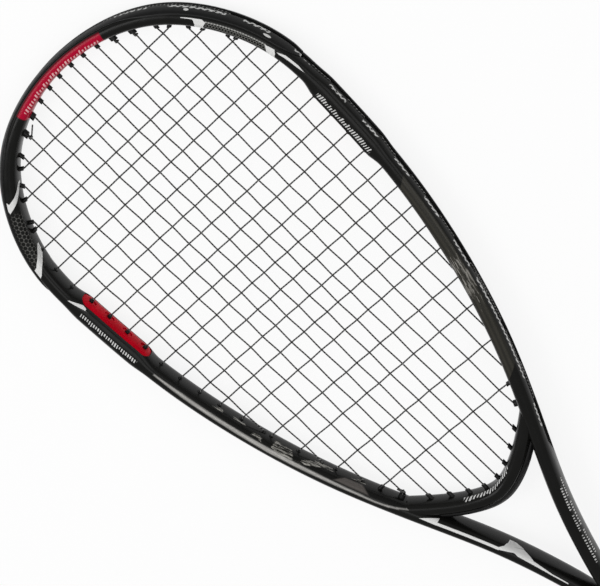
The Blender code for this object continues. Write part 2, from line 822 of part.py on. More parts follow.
def strips(finish, parts, cutters):
    """The bumper round the head, the side strips below it and the strip on the bridge."""
    pair = [RIGHT[("cross", BUMPER_LAST_CROSS + turn)].exit_run for turn in (0, 1)]
    split = sum(pair) / 2 - TIP_RUN
    reach = split - SIDE_STRIP_GAP / 2
    runs = runs_between(HOOP_WALL, TIP_RUN - reach, TIP_RUN + reach)
    grommet_strip("head_bumper", finish, HOOP_WALL, runs, bumper_section, parts, cutters)
    near = split + SIDE_STRIP_GAP / 2
    last = max(hole.exit_run for hole in RIGHT.values() if hole.wall is HOOP_WALL)
    far = last + STRIP_PAST_HOLE - TIP_RUN
    flat = strip_section(HOOP_WALL)
    for name, start, end in (("left", -far, -near), ("right", near, far)):
        runs = runs_between(HOOP_WALL, TIP_RUN + start, TIP_RUN + end)
        name = "side_grommet_strip_" + name
        grommet_strip(name, finish, HOOP_WALL, runs, flat, parts, cutters)
    middle, reach = BRIDGE.length / 2, bridge_groove_reach() - FIT_GAP
    runs = runs_between(BRIDGE_WALL, middle - reach, middle + reach)
    flat = strip_section(BRIDGE_WALL)
    grommet_strip("bridge_grommet_strip", finish, BRIDGE_WALL, runs, flat, parts, cutters)


def main_holes(turn):
    """Top and foot holes of a main, counted from the left."""
    if turn < MAINS_EACH_SIDE:
        index = MAINS_EACH_SIDE - 1 - turn
        return LEFT[("top", index)], LEFT[("foot", index)]
    index = turn - MAINS_EACH_SIDE
    return RIGHT[("top", index)], RIGHT[("foot", index)]


def crossing(turn, cross):
    """Where a main meets a cross, on the main's side of the weave; None outside the head."""
    top, foot = (hole.inside(MOUTH_CLEARANCE) for hole in main_holes(turn))
    edge = RIGHT[("cross", cross)].inside(MOUTH_CLEARANCE)
    share = (edge[1] - foot[1]) / (top[1] - foot[1])
    x = foot[0] + share * (top[0] - foot[0])
    if not foot[1] + CROSSING_MARGIN < edge[1] < top[1] - CROSSING_MARGIN:
        return None
    if abs(x) > edge[0] - CROSSING_MARGIN:
        return None
    return np.array([x, edge[1], WEAVE_OFFSET * (-1) ** (turn + cross)])


def through(hole, up=0.0):
    """A string's way out through a hole: the mouth and the point where it turns."""
    return [hole.inside(MOUTH_CLEARANCE, up), hole.out_to(STRING_LANE, up)[0]]


def along_channel(first, second, up, height=STRING_LANE):
    """Points in the string channel between two holes, at the wall's own stations."""
    wall, start, end = first.wall, first.exit_run, second.exit_run
    ahead = 1 if end > start else -1
    start, end = start + ahead * LANE_CHANGE, end - ahead * LANE_CHANGE
    if (end - start) * ahead < LANE_CHANGE:
        return [wall.channel((start + end) / 2, height, up)]
    runs = start, end
    if (end - start) * ahead > HOOP_STATION:
        runs = runs_between(wall, min(start, end), max(start, end))[::ahead]
    return [wall.channel(run, height, up) for run in runs]


def knot(anchor, first_crossing):
    """A tail that comes in through an anchor main's hole and is wound round that main."""
    into = anchor.inside(MOUTH_CLEARANCE, TIE_SHIFT)
    axis_start = anchor.inside(MOUTH_CLEARANCE, -TIE_SHIFT)
    along = first_crossing - axis_start
    along /= np.linalg.norm(along)
    towards = (into - axis_start) - along * ((into - axis_start) @ along)
    towards /= np.linalg.norm(towards)
    sideways = np.cross(along, towards)
    normal = anchor.wall.path.outward(anchor.run)
    clear = (KNOT_RADIUS + STRING_RADIUS + FIT_GAP) / abs(along[:2] @ normal)
    points = []
    for step in range(KNOT_STEPS * KNOT_TURNS + 1):
        turn = step / KNOT_STEPS
        ring = towards * math.cos(2 * math.pi * turn) + sideways * math.sin(2 * math.pi * turn)
        points.append(axis_start + along * (clear + KNOT_PITCH * turn) + ring * KNOT_RADIUS)
    points.append(points[-1] + KNOT_TAIL * (0.94 * sideways + 0.30 * along + 0.16 * towards))
    return points


def coil_gap(points, anchor_start, anchor_end):
    """The least gap of a wound tail to itself and to its anchor, measured on points along them."""
    fine, length, run = [], [], 0.0
    for start, end in zip(points, points[1:]):
        step = np.linalg.norm(end - start)
        for share in np.linspace(0, 1, 8, endpoint=False):
            fine.append(start + share * (end - start))
            length.append(run + share * step)
        run += step
    fine, length = np.array(fine), np.array(length)
    apart = np.linalg.norm(fine[:, None] - fine[None], axis=2)
    far = abs(length[:, None] - length[None]) > math.pi * KNOT_RADIUS
    anchor = anchor_start + np.linspace(0, 1, 200)[:, None] * (anchor_end - anchor_start)
    beside = np.linalg.norm(fine[:, None] - anchor[None], axis=2)
    return min(apart[far].min(), beside.min()) - 2 * STRING_RADIUS


def string_object(name, points, finish, parts):
    """A string of one unbroken square tube through its points."""
    curve = bpy.data.curves.new(name, "CURVE")
    curve.dimensions = "3D"
    curve.bevel_depth = STRING_RADIUS
    curve.bevel_resolution = 0
    curve.use_fill_caps = True
    spline = curve.splines.new("POLY")
    spline.points.add(len(points) - 1)
    for knot_point, place_at in zip(spline.points, points):
        knot_point.co = (*place_at, 1.0)
    return object_from(name, curve, parts, finish)


def tail(hole, anchor, up, height, first_crossing):
    """From the last hole along the channel to the anchor's hole, through it and round its main."""
    points = along_channel(hole, anchor, up, height)
    points.append(anchor.out_to(STRING_LANE, TIE_SHIFT)[0])
    points.append(anchor.inside(MOUTH_CLEARANCE, TIE_SHIFT))
    wound = knot(anchor, first_crossing)
    gap = coil_gap(wound, anchor.inside(MOUTH_CLEARANCE, -TIE_SHIFT), first_crossing)
    print(f"least gap of a knot's coil to itself and its main {1000 * gap:.2f} mm")
    return points + wound


def own_shift(hole):
    """A main keeps to the lower side of a hole that it shares with a tail."""
    return -TIE_SHIFT if hole.tied else 0.0


def crossings_on(turn):
    """A main's crossings from its top to its foot."""
    met = [crossing(turn, cross) for cross in range(CROSS_COUNT)]
    return [point for point in met if point is not None]


def tie_at(tie, side):
    """The hole that a string is tied off at, and the crossing nearest it on the same main."""
    end, index = tie
    turn = MAINS_EACH_SIDE + index if side is RIGHT else MAINS_EACH_SIDE - 1 - index
    return side[tie], crossings_on(turn)[0 if end == "top" else -1]


def main_string(finish, parts):
    """One string up and down through all the mains, tied off at the head on both sides."""
    count = 2 * MAINS_EACH_SIDE
    anchor, near = tie_at(MAIN_TIE_LEFT, LEFT)
    points = tail(main_holes(0)[0], anchor, 0.0, TAIL_LANE, near)[::-1]
    for turn in range(count):
        holes = main_holes(turn)
        met = crossings_on(turn)
        top, foot = (through(hole, own_shift(hole)) for hole in holes)
        if turn % 2 == 0:
            points += top[::-1] + met + foot
        else:
            points += foot[::-1] + met[::-1] + top
        if turn + 1 < count:
            after = main_holes(turn + 1)
            end = 1 if turn % 2 == 0 else 0
            points += along_channel(holes[end], after[end], -LOOP_SHIFT)
    anchor, near = tie_at(MAIN_TIE_RIGHT, RIGHT)
    points += tail(main_holes(count - 1)[0], anchor, 0.0, TAIL_LANE, near)
    return string_object("main_string", points, finish, parts)


def cross_string(finish, parts):
    """One string to and fro through all the crosses, woven over and under the mains."""
    flip = np.array([1.0, 1.0, -1.0])
    anchor, near = tie_at(CROSS_TIE_HEAD, RIGHT)
    points = tail(RIGHT[("cross", 0)], anchor, LOOP_SHIFT, STRING_LANE, near)[::-1]
    for cross in range(CROSS_COUNT):
        met = [crossing(turn, cross) for turn in range(2 * MAINS_EACH_SIDE)]
        met = [point * flip for point in met if point is not None]
        left, right = (through(side[("cross", cross)]) for side in (LEFT, RIGHT))
        if cross % 2 == 0:
            points += right[::-1] + met[::-1] + left
            side = LEFT
        else:
            points += left[::-1] + met + right
            side = RIGHT
        if cross + 1 < CROSS_COUNT:
            points += along_channel(side[("cross", cross)], side[("cross", cross + 1)], LOOP_SHIFT)
    anchor, near = tie_at(CROSS_TIE_THROAT, side)
    last = side[("cross", CROSS_COUNT - 1)]
    points += tail(last, anchor, LOOP_SHIFT, STRING_LANE, near)
    return string_object("cross_string", points, finish, parts)


def octagon(half_width, half_depth, corner):
    """Points (x, z) of a handle outline, which has flats in front, behind and at the sides."""
    right = [(half_width, half_depth - corner), (half_width - corner, half_depth)]
    top = right + [(-x, z) for x, z in reversed(right)]
    return top + [(x, -z) for x, z in reversed(top)]


def handle_outline(y, grow=0.0):
    """The pallets' outline at a height, moved outward evenly by grow."""
    out = grow + BUTT_FLARE * max(0.0, 1 - y / BUTT_FLARE_END_Y)
    corner = HANDLE_CORNER + out * (2 - math.sqrt(2))
    return octagon(HANDLE_HALF_WIDTH + out, HANDLE_HALF_DEPTH + out, corner)


def at_height(outline, y):
    return [(x, y, z) for x, z in outline]


def pallet(label, side, clearance, fastener_holes, finish, parts):
    """Half of the handle's core, hollowed for the hoop's legs and split at the string bed."""
    name = "handle_pallet_" + label
    rings = []
    for y in (CAP_FLOOR + FIT_GAP, BUTT_FLARE_END_Y, HANDLE_TOP_Y):
        half = [(x, z) for x, z in handle_outline(y) if z > 0]
        half = [(half[0][0], FIT_GAP / 2), *half, (half[-1][0], FIT_GAP / 2)]
        rings.append(at_height([(x, side * z) for x, z in half], y))
    half_handle = object_from(name, loft(name, rings), parts, finish)
    for tool in (clearance, *fastener_holes):
        boolean(half_handle, tool)
    return half_handle


def grip_wrap(tack_hole, finish, parts):
    """A grip band wound up the handle, tapered where it starts and ends."""
    bottom = CAP_LENGTH + FIT_GAP
    inner = handle_outline(HANDLE_TOP_Y, FIT_GAP)
    edge = handle_outline(HANDLE_TOP_Y, FIT_GAP + GRIP_THICKNESS - GRIP_EDGE)
    outer = handle_outline(HANDLE_TOP_Y, FIT_GAP + GRIP_THICKNESS)
    sides = [math.dist(inner[turn], inner[(turn + 1) % 8]) for turn in range(8)]
    perimeter = sum(sides)
    arc, turn, rings = -sides[BACK_FLAT] / 2, BACK_FLAT, []
    while True:
        arc += sides[turn % 8]
        turn += 1
        high = min(GRIP_TOP_Y, bottom + GRIP_PITCH * arc / perimeter)
        low = max(bottom, bottom + GRIP_PITCH * (arc / perimeter - 1) + GRIP_SEAM)
        if high - low < 3 * GRIP_EDGE:
            if rings:
                break
            continue
        profile = [
            (inner, low),
            (edge, low),
            (outer, low + GRIP_EDGE),
            (outer, high - GRIP_EDGE),
            (edge, high),
            (inner, high),
        ]
        rings.append([(corners[turn % 8][0], y, corners[turn % 8][1]) for corners, y in profile])
    band = object_from("grip_wrap", loft("grip_wrap", rings), parts, finish)
    boolean(band, tack_hole)
    print(f"least gap of the grip's turns {1000 * GRIP_SEAM:.2f} mm")
    return band


def octagon_loft(name, sections):
    """A loft up the handle through sections (outline, y)."""
    return loft(name, [at_height(outline, y) for outline, y in sections])


def finishing_tape(finish, parts, cutters):
    grow = 2 * FIT_GAP + GRIP_THICKNESS
    outer = handle_outline(HANDLE_TOP_Y, grow + TAPE_THICKNESS)
    inner = handle_outline(HANDLE_TOP_Y, grow)
    mesh = octagon_loft("finishing_tape", [(outer, TAPE_BOTTOM_Y), (outer, TAPE_TOP_Y)])
    tape = object_from("finishing_tape", mesh, parts, finish)
    room = [(inner, TAPE_BOTTOM_Y - TAPE_THICKNESS), (inner, TAPE_TOP_Y + TAPE_THICKNESS)]
    boolean(tape, cutter("tape_room", octagon_loft("tape_room", room), cutters))
    return tape


def grip_collar(clearance, finish, parts, cutters):
    """A rubber sleeve over the tape and the top of the pallets, drawn in to the shaft."""
    grow = 3 * FIT_GAP + GRIP_THICKNESS + TAPE_THICKNESS
    wide = handle_outline(HANDLE_TOP_Y, grow + COLLAR_WALL)
    chamfered = handle_outline(HANDLE_TOP_Y, grow + COLLAR_WALL / 3)
    shaft_wall = FIT_GAP + COLLAR_WALL
    shaft_width = LEG_OFFSET + SHAFT_HALF_WIDTH + shaft_wall
    narrow = octagon(shaft_width, SHAFT_HALF_DEPTH + shaft_wall, HANDLE_CORNER * 0.8)
    sections = [
        (chamfered, COLLAR_BOTTOM_Y),
        (wide, COLLAR_BOTTOM_Y + COLLAR_WALL),
        (wide, HANDLE_TOP_Y + FIT_GAP),
        (chamfered, COLLAR_SHOULDER_Y),
        (narrow, COLLAR_TOP_Y),
    ]
    mesh = octagon_loft("grip_collar", sections)
    collar = object_from("grip_collar", mesh, parts, finish)
    room = handle_outline(HANDLE_TOP_Y, grow)
    sections = [(room, COLLAR_BOTTOM_Y - COLLAR_WALL), (room, TAPE_TOP_Y + FIT_GAP)]
    sections += [(handle_outline(HANDLE_TOP_Y, FIT_GAP), HANDLE_TOP_Y + FIT_GAP)]
    boolean(collar, cutter("collar_room", octagon_loft("collar_room", sections), cutters))
    boolean(collar, clearance)
    return collar


def butt_cap(staple_holes, finish, parts, cutters):
    """A flared cup over the pallets' lower end, with a flat end face at y = 0."""
    grow = FIT_GAP + CAP_WALL
    sections = [
        (handle_outline(0.0, grow - CAP_ROUNDING), 0.0),
        (handle_outline(0.0, grow - 0.3 * CAP_ROUNDING), 0.3 * CAP_ROUNDING),
        (handle_outline(CAP_ROUNDING, grow), CAP_ROUNDING),
        (handle_outline(BUTT_FLARE_END_Y, grow), BUTT_FLARE_END_Y),
        (handle_outline(CAP_LENGTH, grow), CAP_LENGTH),
    ]
    cap = object_from("butt_cap", octagon_loft("butt_cap", sections), parts, finish)
    heights = CAP_FLOOR, BUTT_FLARE_END_Y, CAP_LENGTH + CAP_WALL
    room = octagon_loft("cap_room", [(handle_outline(y, FIT_GAP), y) for y in heights])
    boolean(cap, cutter("cap_room", room, cutters))
    boolean(cap, staple_holes)
    return cap


def staple_crown_x():
    """Half the distance between the two staples' crowns."""
    x = handle_outline(STAPLE_Y, FIT_GAP + CAP_WALL)[0][0]
    return x + FIT_GAP + STAPLE_WIRE_RADIUS


def staple_hole_rods():
    """Room for the staples' four legs through the cap and into the pallets."""
    bm = bmesh.new()
    radius = STAPLE_WIRE_RADIUS + FIT_GAP
    for side in (-1, 1):
        way = np.array([float(side), 0.0])
        inner, outer = staple_crown_x() - STAPLE_LEG - FIT_GAP, staple_crown_x() + CAP_WALL
        for up in (-STAPLE_HALF_SPAN, STAPLE_HALF_SPAN):
            ends = [(np.array([side * x, STAPLE_Y, up]), way) for x in (inner, outer)]
            prism(bm, ends, way, (radius, radius), 8)
    return mesh_from("staple_holes", bm)


def cap_staple(label, side, finish, parts):
    """A wire staple over the joint between the pallets, driven in through the cap's side."""
    crown, span, bend = staple_crown_x(), STAPLE_HALF_SPAN, 2 * STAPLE_WIRE_RADIUS
    half = [(crown - STAPLE_LEG, span), (crown - bend, span), (crown, span - bend)]
    route = half + [(x, -up) for x, up in reversed(half)]
    curve = bpy.data.curves.new("cap_staple_" + label, "CURVE")
    curve.dimensions = "3D"
    curve.bevel_depth = STAPLE_WIRE_RADIUS
    curve.bevel_resolution = 1
    curve.use_fill_caps = True
    spline = curve.splines.new("POLY")
    spline.points.add(len(route) - 1)
    for point, (x, up) in zip(spline.points, route):
        point.co = (side * x, STAPLE_Y, up, 1.0)
    return object_from("cap_staple_" + label, curve, parts, finish)


def tack_profile():
    """The tack's radii and heights from the shank's tip up to the head's crown."""
    seat = HANDLE_HALF_DEPTH + FIT_GAP + GRIP_THICKNESS + FIT_GAP
    return [
        (0.15 * TACK_SHANK_RADIUS, seat - TACK_SHANK_LENGTH),
        (TACK_SHANK_RADIUS, seat - TACK_SHANK_LENGTH + 2 * TACK_SHANK_RADIUS),
        (TACK_SHANK_RADIUS, seat),
        (TACK_HEAD_RADIUS, seat),
        (0.90 * TACK_HEAD_RADIUS, seat + 0.45 * TACK_HEAD_HEIGHT),
        (0.50 * TACK_HEAD_RADIUS, seat + TACK_HEAD_HEIGHT),
    ]


def turned(name, profile, x, y, sides=12):
    """A round piece about an upright axis, closed by its first and last rings."""
    rings = []
    for radius, z in profile:
        ring = []
        for turn in range(sides):
            angle = 2 * math.pi * turn / sides
            ring.append((x + radius * math.cos(angle), y + radius * math.sin(angle), z))
        rings.append(ring)
    return loft(name, rings)


def grip_tack(finish, parts):
    y = CAP_LENGTH + TACK_ABOVE_CAP
    return object_from("grip_tack", turned("grip_tack", tack_profile(), 0.0, y), parts, finish)


def tack_hole_rod():
    """Room for the tack's shank through the grip and into the front pallet."""
    top = tack_profile()[3][1]
    radius = TACK_SHANK_RADIUS + FIT_GAP
    ends = [(radius, top - TACK_SHANK_LENGTH - FIT_GAP), (radius, top + TACK_HEAD_RADIUS)]
    return turned("tack_hole", ends, 0.0, CAP_LENGTH + TACK_ABOVE_CAP, sides=8)


def new_collection(name):
    made = bpy.data.collections.new(name)
    bpy.context.scene.collection.children.link(made)
    return made


def main():
    for old in list(bpy.data.objects):
        bpy.data.objects.remove(old)
    parts = new_collection(COLLECTION_NAME)
    cutters = new_collection("cutters")

    carbon = material("gloss_black_carbon", (0.016, 0.016, 0.018), 0.22)
    nylon = material("black_nylon", (0.022, 0.022, 0.022), 0.45)
    red = material("red_insert", (0.40, 0.0, 0.008), 0.32)
    gut = material("black_string", (0.014, 0.014, 0.014), 0.38)
    foam = material("pallet_foam", (0.30, 0.29, 0.27), 0.75)
    grip = material("grip_black", (0.025, 0.025, 0.026), 0.70)
    tape = material("tape_black", (0.03, 0.03, 0.03), 0.40)
    rubber = material("collar_rubber", (0.018, 0.018, 0.018), 0.60)
    cap = material("cap_plastic", (0.02, 0.02, 0.02), 0.42)
    steel = material("bright_steel", (0.62, 0.62, 0.60), 0.28, 1.0)

    blank = hoop_blank("hoop_blank", cutters)
    clearance = hoop_blank("hoop_clearance", cutters, FIT_GAP, grooved=False)
    hoop_frame(blank, carbon, parts, cutters)
    throat_bridge(clearance, carbon, parts, cutters)
    blade_inserts(blank, red, parts, cutters)
    strips(nylon, parts, cutters)
    main_string(gut, parts)
    cross_string(gut, parts)

    tack_hole = cutter("tack_hole", tack_hole_rod(), cutters)
    staple_holes = cutter("staple_holes", staple_hole_rods(), cutters)
    pallet("front", 1, clearance, (staple_holes, tack_hole), foam, parts)
    pallet("back", -1, clearance, (staple_holes,), foam, parts)
    grip_wrap(tack_hole, grip, parts)
    finishing_tape(tape, parts, cutters)
    grip_collar(clearance, rubber, parts, cutters)
    butt_cap(staple_holes, cap, parts, cutters)
    grip_tack(steel, parts)
    for label, side in (("left", -1), ("right", 1)):
        cap_staple(label, side, steel, parts)


if __name__ == "__main__":
    main()
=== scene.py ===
"""The looks of a speed badminton racket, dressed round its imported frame.

The string bed lies in the plane z = 0, X runs across the head and Y from the butt to the tip.
The hoop's formulas are the ones that its solids were made from. All lengths are in metres.
"""

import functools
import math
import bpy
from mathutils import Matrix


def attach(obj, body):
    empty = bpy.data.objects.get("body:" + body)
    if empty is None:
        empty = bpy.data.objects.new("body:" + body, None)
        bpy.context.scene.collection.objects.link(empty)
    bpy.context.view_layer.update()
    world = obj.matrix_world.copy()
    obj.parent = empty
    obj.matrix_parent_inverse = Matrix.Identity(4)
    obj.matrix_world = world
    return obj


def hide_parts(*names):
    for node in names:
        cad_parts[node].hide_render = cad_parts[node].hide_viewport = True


bl_info = {
    "name": "Speed Badminton Racket Looks",
    "version": (1, 0, 0),
    "blender": (4, 5, 0),
    "location": "3D View > Sidebar > Racket",
    "description": "Builds the finished surfaces, strings and grip of a speed badminton racket",
    "category": "Object",
}

import bmesh
import bpy
import numpy as np
from mathutils import Matrix, Vector
from mathutils.kdtree import KDTree

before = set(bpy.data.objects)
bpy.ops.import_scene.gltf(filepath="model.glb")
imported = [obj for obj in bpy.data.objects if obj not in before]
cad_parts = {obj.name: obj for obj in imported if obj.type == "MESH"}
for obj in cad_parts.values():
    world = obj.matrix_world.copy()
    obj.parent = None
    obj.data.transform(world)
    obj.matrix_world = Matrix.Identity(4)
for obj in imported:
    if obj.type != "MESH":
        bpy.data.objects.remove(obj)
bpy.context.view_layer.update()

# Layout along the racket
TIP_Y = 0.5953
BRIDGE_Y = 0.2512
WINDOW_APEX_Y = 0.172
LEG_END_Y = 0.006

# Centreline and section of the moulded hoop
HEAD_HALF_WIDTH = 0.0985
WIDEST_BELOW_TIP = 0.086
LEG_OFFSET = 0.0044
HOOP_HALF_DEPTH = 0.0085
TIP_HALF_DEPTH = 0.0076
HOOP_HALF_WIDTH = 0.0049
TIP_HALF_WIDTH = 0.0038
SHAFT_HALF_WIDTH = 0.0048
SHAFT_HALF_DEPTH = 0.0092
GROOVE_HALF_WIDTH = 0.0032
GROOVE_DEPTH = 0.0025
GROOVE_WALL = 0.0004
SECTION_POWER = 2.6
TIP_WIDENS = (0.005, 0.085)
TIP_DEEPENS = (0.02, 0.11)
SHAFT_BLEND_BELOW = 0.045
SHAFT_BLEND_ABOVE = 0.050
GROOVE_FADE_BELOW = 0.004
GROOVE_FADE_ABOVE = 0.016

# Blade zones and their inserts
BLADE_BULGE = 0.0028
BLADE_OUTER_BULGE = 0.0010
BLADE_RAMP = 0.014
BLADE_FIRST_CROSS = 6
BLADE_LAST_CROSS = 9
INSERT_MARGIN = 0.0052
INSERT_DEPTH = 0.0032
INSERT_HALF_HEIGHT = 0.0066
INSERT_ROUNDING = 0.0050
INSERT_RECESS = 0.00065
PORT_HALF_LENGTH = 0.0036
PORT_HALF_HEIGHT = 0.0026
PORT_DEPTH = 0.0012

# String bed
MAINS_EACH_SIDE = 8
MAIN_HALF_GAP = 0.0048
MAIN_WIDENING = 0.011
OUTER_MAIN_MARGIN = 0.0160
FAN_FROM = 5
FAN_SHARE = 0.046
FAN_LENGTH = 0.225
TOP_CROSS_BELOW_TIP = 0.0273
CROSS_STEP = 0.0134
WIDER_ABOVE_BRIDGE = 0.150
CROSS_WIDENING = 0.151
LAST_CROSS_ABOVE_BRIDGE = 0.030

# Grommet strips and barrels
FIT_GAP = 0.0003
STRIP_THICKNESS = 0.0010
BARREL_RADIUS = 0.0013
BARREL_REACH = 0.0024
BORE_RADIUS = 0.00078
TIE_BARREL_RADIUS = 0.0020
TIE_BORE_RADIUS = 0.00145
HOLE_SPACING = 0.0046
LEAN_LIMIT = math.radians(62)
FLUSH_REACH = 0.0004
CHANNEL_HALF_WIDTH = 0.0021
BUMPER_THICKNESS = 0.0009
BUMPER_TIP_HEIGHT = 0.0061
BUMPER_SIDE_HEIGHT = 0.00795
BUMPER_END_HEIGHT = 0.0032
BUMPER_LOBE = 0.0155
BUMPER_LAST_CROSS = 4
SIDE_STRIP_GAP = 0.0015
STRIP_PAST_HOLE = 0.0050
STRING_LANE = 0.0020
TAIL_LANE = 0.00325
STRING_LAY = 0.0021
HOLE_EASE = 0.0001
STRIP_ROUNDING = 0.00035
GUARD_ROUNDING = 0.0003
BUMPER_GROWS = (0.036, 0.064)
BUMPER_THIN_END = 0.007

# String runs outside the wall and knots
LOOP_SHIFT = 0.00115
LANE_CHANGE = 0.0022
TIE_SHIFT = 0.00065
MOUTH_CLEARANCE = 0.0003
CROSSING_MARGIN = 0.0012
KNOT_RADIUS = 0.00092
KNOT_CLEARANCE = 0.0005
KNOT_PITCH = 0.00085
KNOT_TURNS = 2
KNOT_TAIL = 0.0090
TUCKED_TAIL = 0.0012
MAIN_TIE_LEFT = ("top", 4)
MAIN_TIE_RIGHT = ("top", 3)
CROSS_TIE_HEAD = ("top", 4)
CROSS_TIE_THROAT = ("foot", 4)
TIED_HOLES = {MAIN_TIE_LEFT, MAIN_TIE_RIGHT, CROSS_TIE_HEAD, CROSS_TIE_THROAT}

# Throat bridge
BRIDGE_MAINS = 4
BRIDGE_HALF_WIDTH = 0.0047
BRIDGE_HALF_DEPTH = 0.0078
BRIDGE_GROOVE_FADE = 0.0050
BRIDGE_STRIP_PAST_HOLE = 0.0030
BRIDGE_STRIP_HEIGHT = 0.0048
BRIDGE_STRIP_THICKNESS = 0.0026

# Handle
HANDLE_TOP_Y = 0.154
HANDLE_HALF_WIDTH = 0.0146
HANDLE_HALF_DEPTH = 0.0122
HANDLE_CORNER = 0.0056
BUTT_FLARE = 0.0030
BUTT_FLARE_END_Y = 0.0160
GRIP_THICKNESS = 0.0019
GRIP_PITCH = 0.0245
GRIP_SEAM = 0.0006
GRIP_START = 5.5 / 8
GRIP_LEAST_WIDTH = 0.0012
GRIP_EDGE_WIDTH = 0.0030
GRIP_TOP_Y = 0.150
TAPE_BOTTOM_Y = 0.1425
TAPE_TOP_Y = 0.1505
TAPE_THICKNESS = 0.0006
COLLAR_BOTTOM_Y = 0.1465
COLLAR_TOP_Y = 0.1670
COLLAR_LIP = 0.0009
COLLAR_RIBS = 3
COLLAR_RIB_DEPTH = 0.00022
COLLAR_WALL = 0.0012
CAP_LENGTH = 0.0165
CAP_WALL = 0.0019
CAP_EDGE_RADIUS = 0.0022
CAP_DISH = 0.0006
CAP_GROOVE_Y = 0.0128
CAP_GROOVE_DEPTH = 0.00025
CAP_GROOVE_WIDTH = 0.0006
TACK_ABOVE_CAP = 0.0060
TACK_HEAD_RADIUS = 0.0030
TACK_HEAD_HEIGHT = 0.0009
TACK_SHANK_RADIUS = 0.0006
TACK_SHANK_LENGTH = 0.0042
STAPLE_Y = 0.0105
STAPLE_HALF_SPAN = 0.0045
STAPLE_WIRE_RADIUS = 0.00045
STAPLE_LEG = 0.0046
PALLET_ROUNDING = 0.0022
INSIDE_ROUNDING = 0.0026
RIM_ROUNDING = 0.0030
OUTSIDE_ROUNDING = 0.0032

# Fineness of the finished surfaces
HOOP_STEP = 0.0016
LEG_STEP = 0.006
CREST_STEPS = 26
BRIDGE_STEP = 0.0012
STRIP_STEP = 0.0018
STRIP_END = 0.006
CHANNEL_STEP = 0.002
WEAVE_STEPS = 8
KNOT_STEPS = 20
STRAIGHT_ENOUGH = 0.93
STRING_SIDES = 10
STAPLE_SIDES = 16
OUTLINE_POINTS = 128
ARC_STEPS = 49
SPREAD_ROUNDS = 200
UPRIGHT_ROUNDS = 20
UPRIGHT_SHARE = 0.85
SHARP_ANGLE = math.radians(35)
MIRROR_MERGE = 0.00001

# The photograph's viewpoint
CAMERA_PLACE = (0.6016, 0.6654, 1.2853)
CAMERA_RIGHT = (0.6817, -0.7097, -0.1779)
CAMERA_UP = (0.6019, 0.6822, -0.4152)
CAMERA_BACK = (0.416, 0.176, 0.8922)
CAMERA_LENS = 155.68
CAMERA_SENSOR = 36.0
CAMERA_TURN = 0.0022
CAMERA_PIVOT = (0.0, 0.150, 0.0)
FLOOR_REST = ((0.1565, -0.0172), (0.5953, -0.0082))
FLOOR_REACH = 4.0
FLOOR_WHITE_SHARE = 0.86
LAMPS = (
    ("key", (-0.9, 1.5, 1.9), 22.0),
    ("fill", (1.6, -0.2, 1.5), 8.0),
    ("top", (0.1, 0.4, 2.4), 10.0),
)
LAMP_SIZE = 1.2
LAMP_TARGET = (0.0, 0.4, 0.0)
WORLD_STRENGTH = 0.5

# Node sockets
STRAND_INPUTS = {"Geometry": "Geometry", "Radius": "Float", "Sides": "Int", "Finish": "Material"}
MIX_INPUTS = (0, 6, 7)  # factor, colour below, colour above
MIX_RESULT = 2
PATCH_EDGES = 4


def smoothstep(value, start, end):
    """0 before start, 1 after end, and a smooth climb between them."""
    share = np.clip((value - start) / (end - start), 0.0, 1.0)
    return share * share * (3 - 2 * share)


def spline_through(points, count):
    """A natural cubic spline through points, as count points evenly spaced by knot distance."""
    points = np.asarray(points, float)
    knots = run_along(points)
    gaps = np.diff(knots)
    size = len(points)
    matrix = np.eye(size)
    right = np.zeros_like(points)
    for row in range(1, size - 1):
        before, after = gaps[row - 1], gaps[row]
        matrix[row, row - 1 : row + 2] = before, 2 * (before + after), after
        rise = (points[row + 1] - points[row]) / after - (points[row] - points[row - 1]) / before
        right[row] = 6 * rise
    bend = np.linalg.solve(matrix, right)
    where = np.linspace(0, knots[-1], count)
    cell = np.clip(np.searchsorted(knots, where) - 1, 0, size - 2)
    gap = gaps[cell][:, None]
    left = (knots[cell + 1] - where)[:, None]
    along = (where - knots[cell])[:, None]
    curve = (bend[cell] * left**3 + bend[cell + 1] * along**3) / (6 * gap)
    curve += (points[cell] / gap - bend[cell] * gap / 6) * left
    curve += (points[cell + 1] / gap - bend[cell + 1] * gap / 6) * along
    return curve


def run_along(points):
    """The length along a chain up to each of its points."""
    return np.concatenate([[0], np.cumsum(np.linalg.norm(np.diff(points, axis=0), axis=1))])


def read_at(where, run, table):
    """A table of pairs read at lengths between its own."""
    return np.stack([np.interp(where, run, table[:, axis]) for axis in (0, 1)], axis=-1)


class FlatPath:
    """A centreline in the plane z = 0 that can be read at any length or lengths along it."""

    def __init__(self, points):
        self.points = np.asarray(points, float)
        self.run = run_along(self.points)
        self.length = self.run[-1]
        tangent = np.gradient(self.points, self.run, axis=0)
        self.tangent = tangent / np.linalg.norm(tangent, axis=1)[:, None]

    def at(self, run):
        return read_at(run, self.run, self.points)

    def outward(self, run):
        """The normal on the left of the direction of travel."""
        tangent = read_at(run, self.run, self.tangent)
        tangent = tangent / np.linalg.norm(tangent, axis=-1, keepdims=True)
        return np.stack([-tangent[..., 1], tangent[..., 0]], axis=-1)

    def nearest(self, point):
        return self.run[np.argmin(np.linalg.norm(self.points - np.asarray(point)[:2], axis=1))]


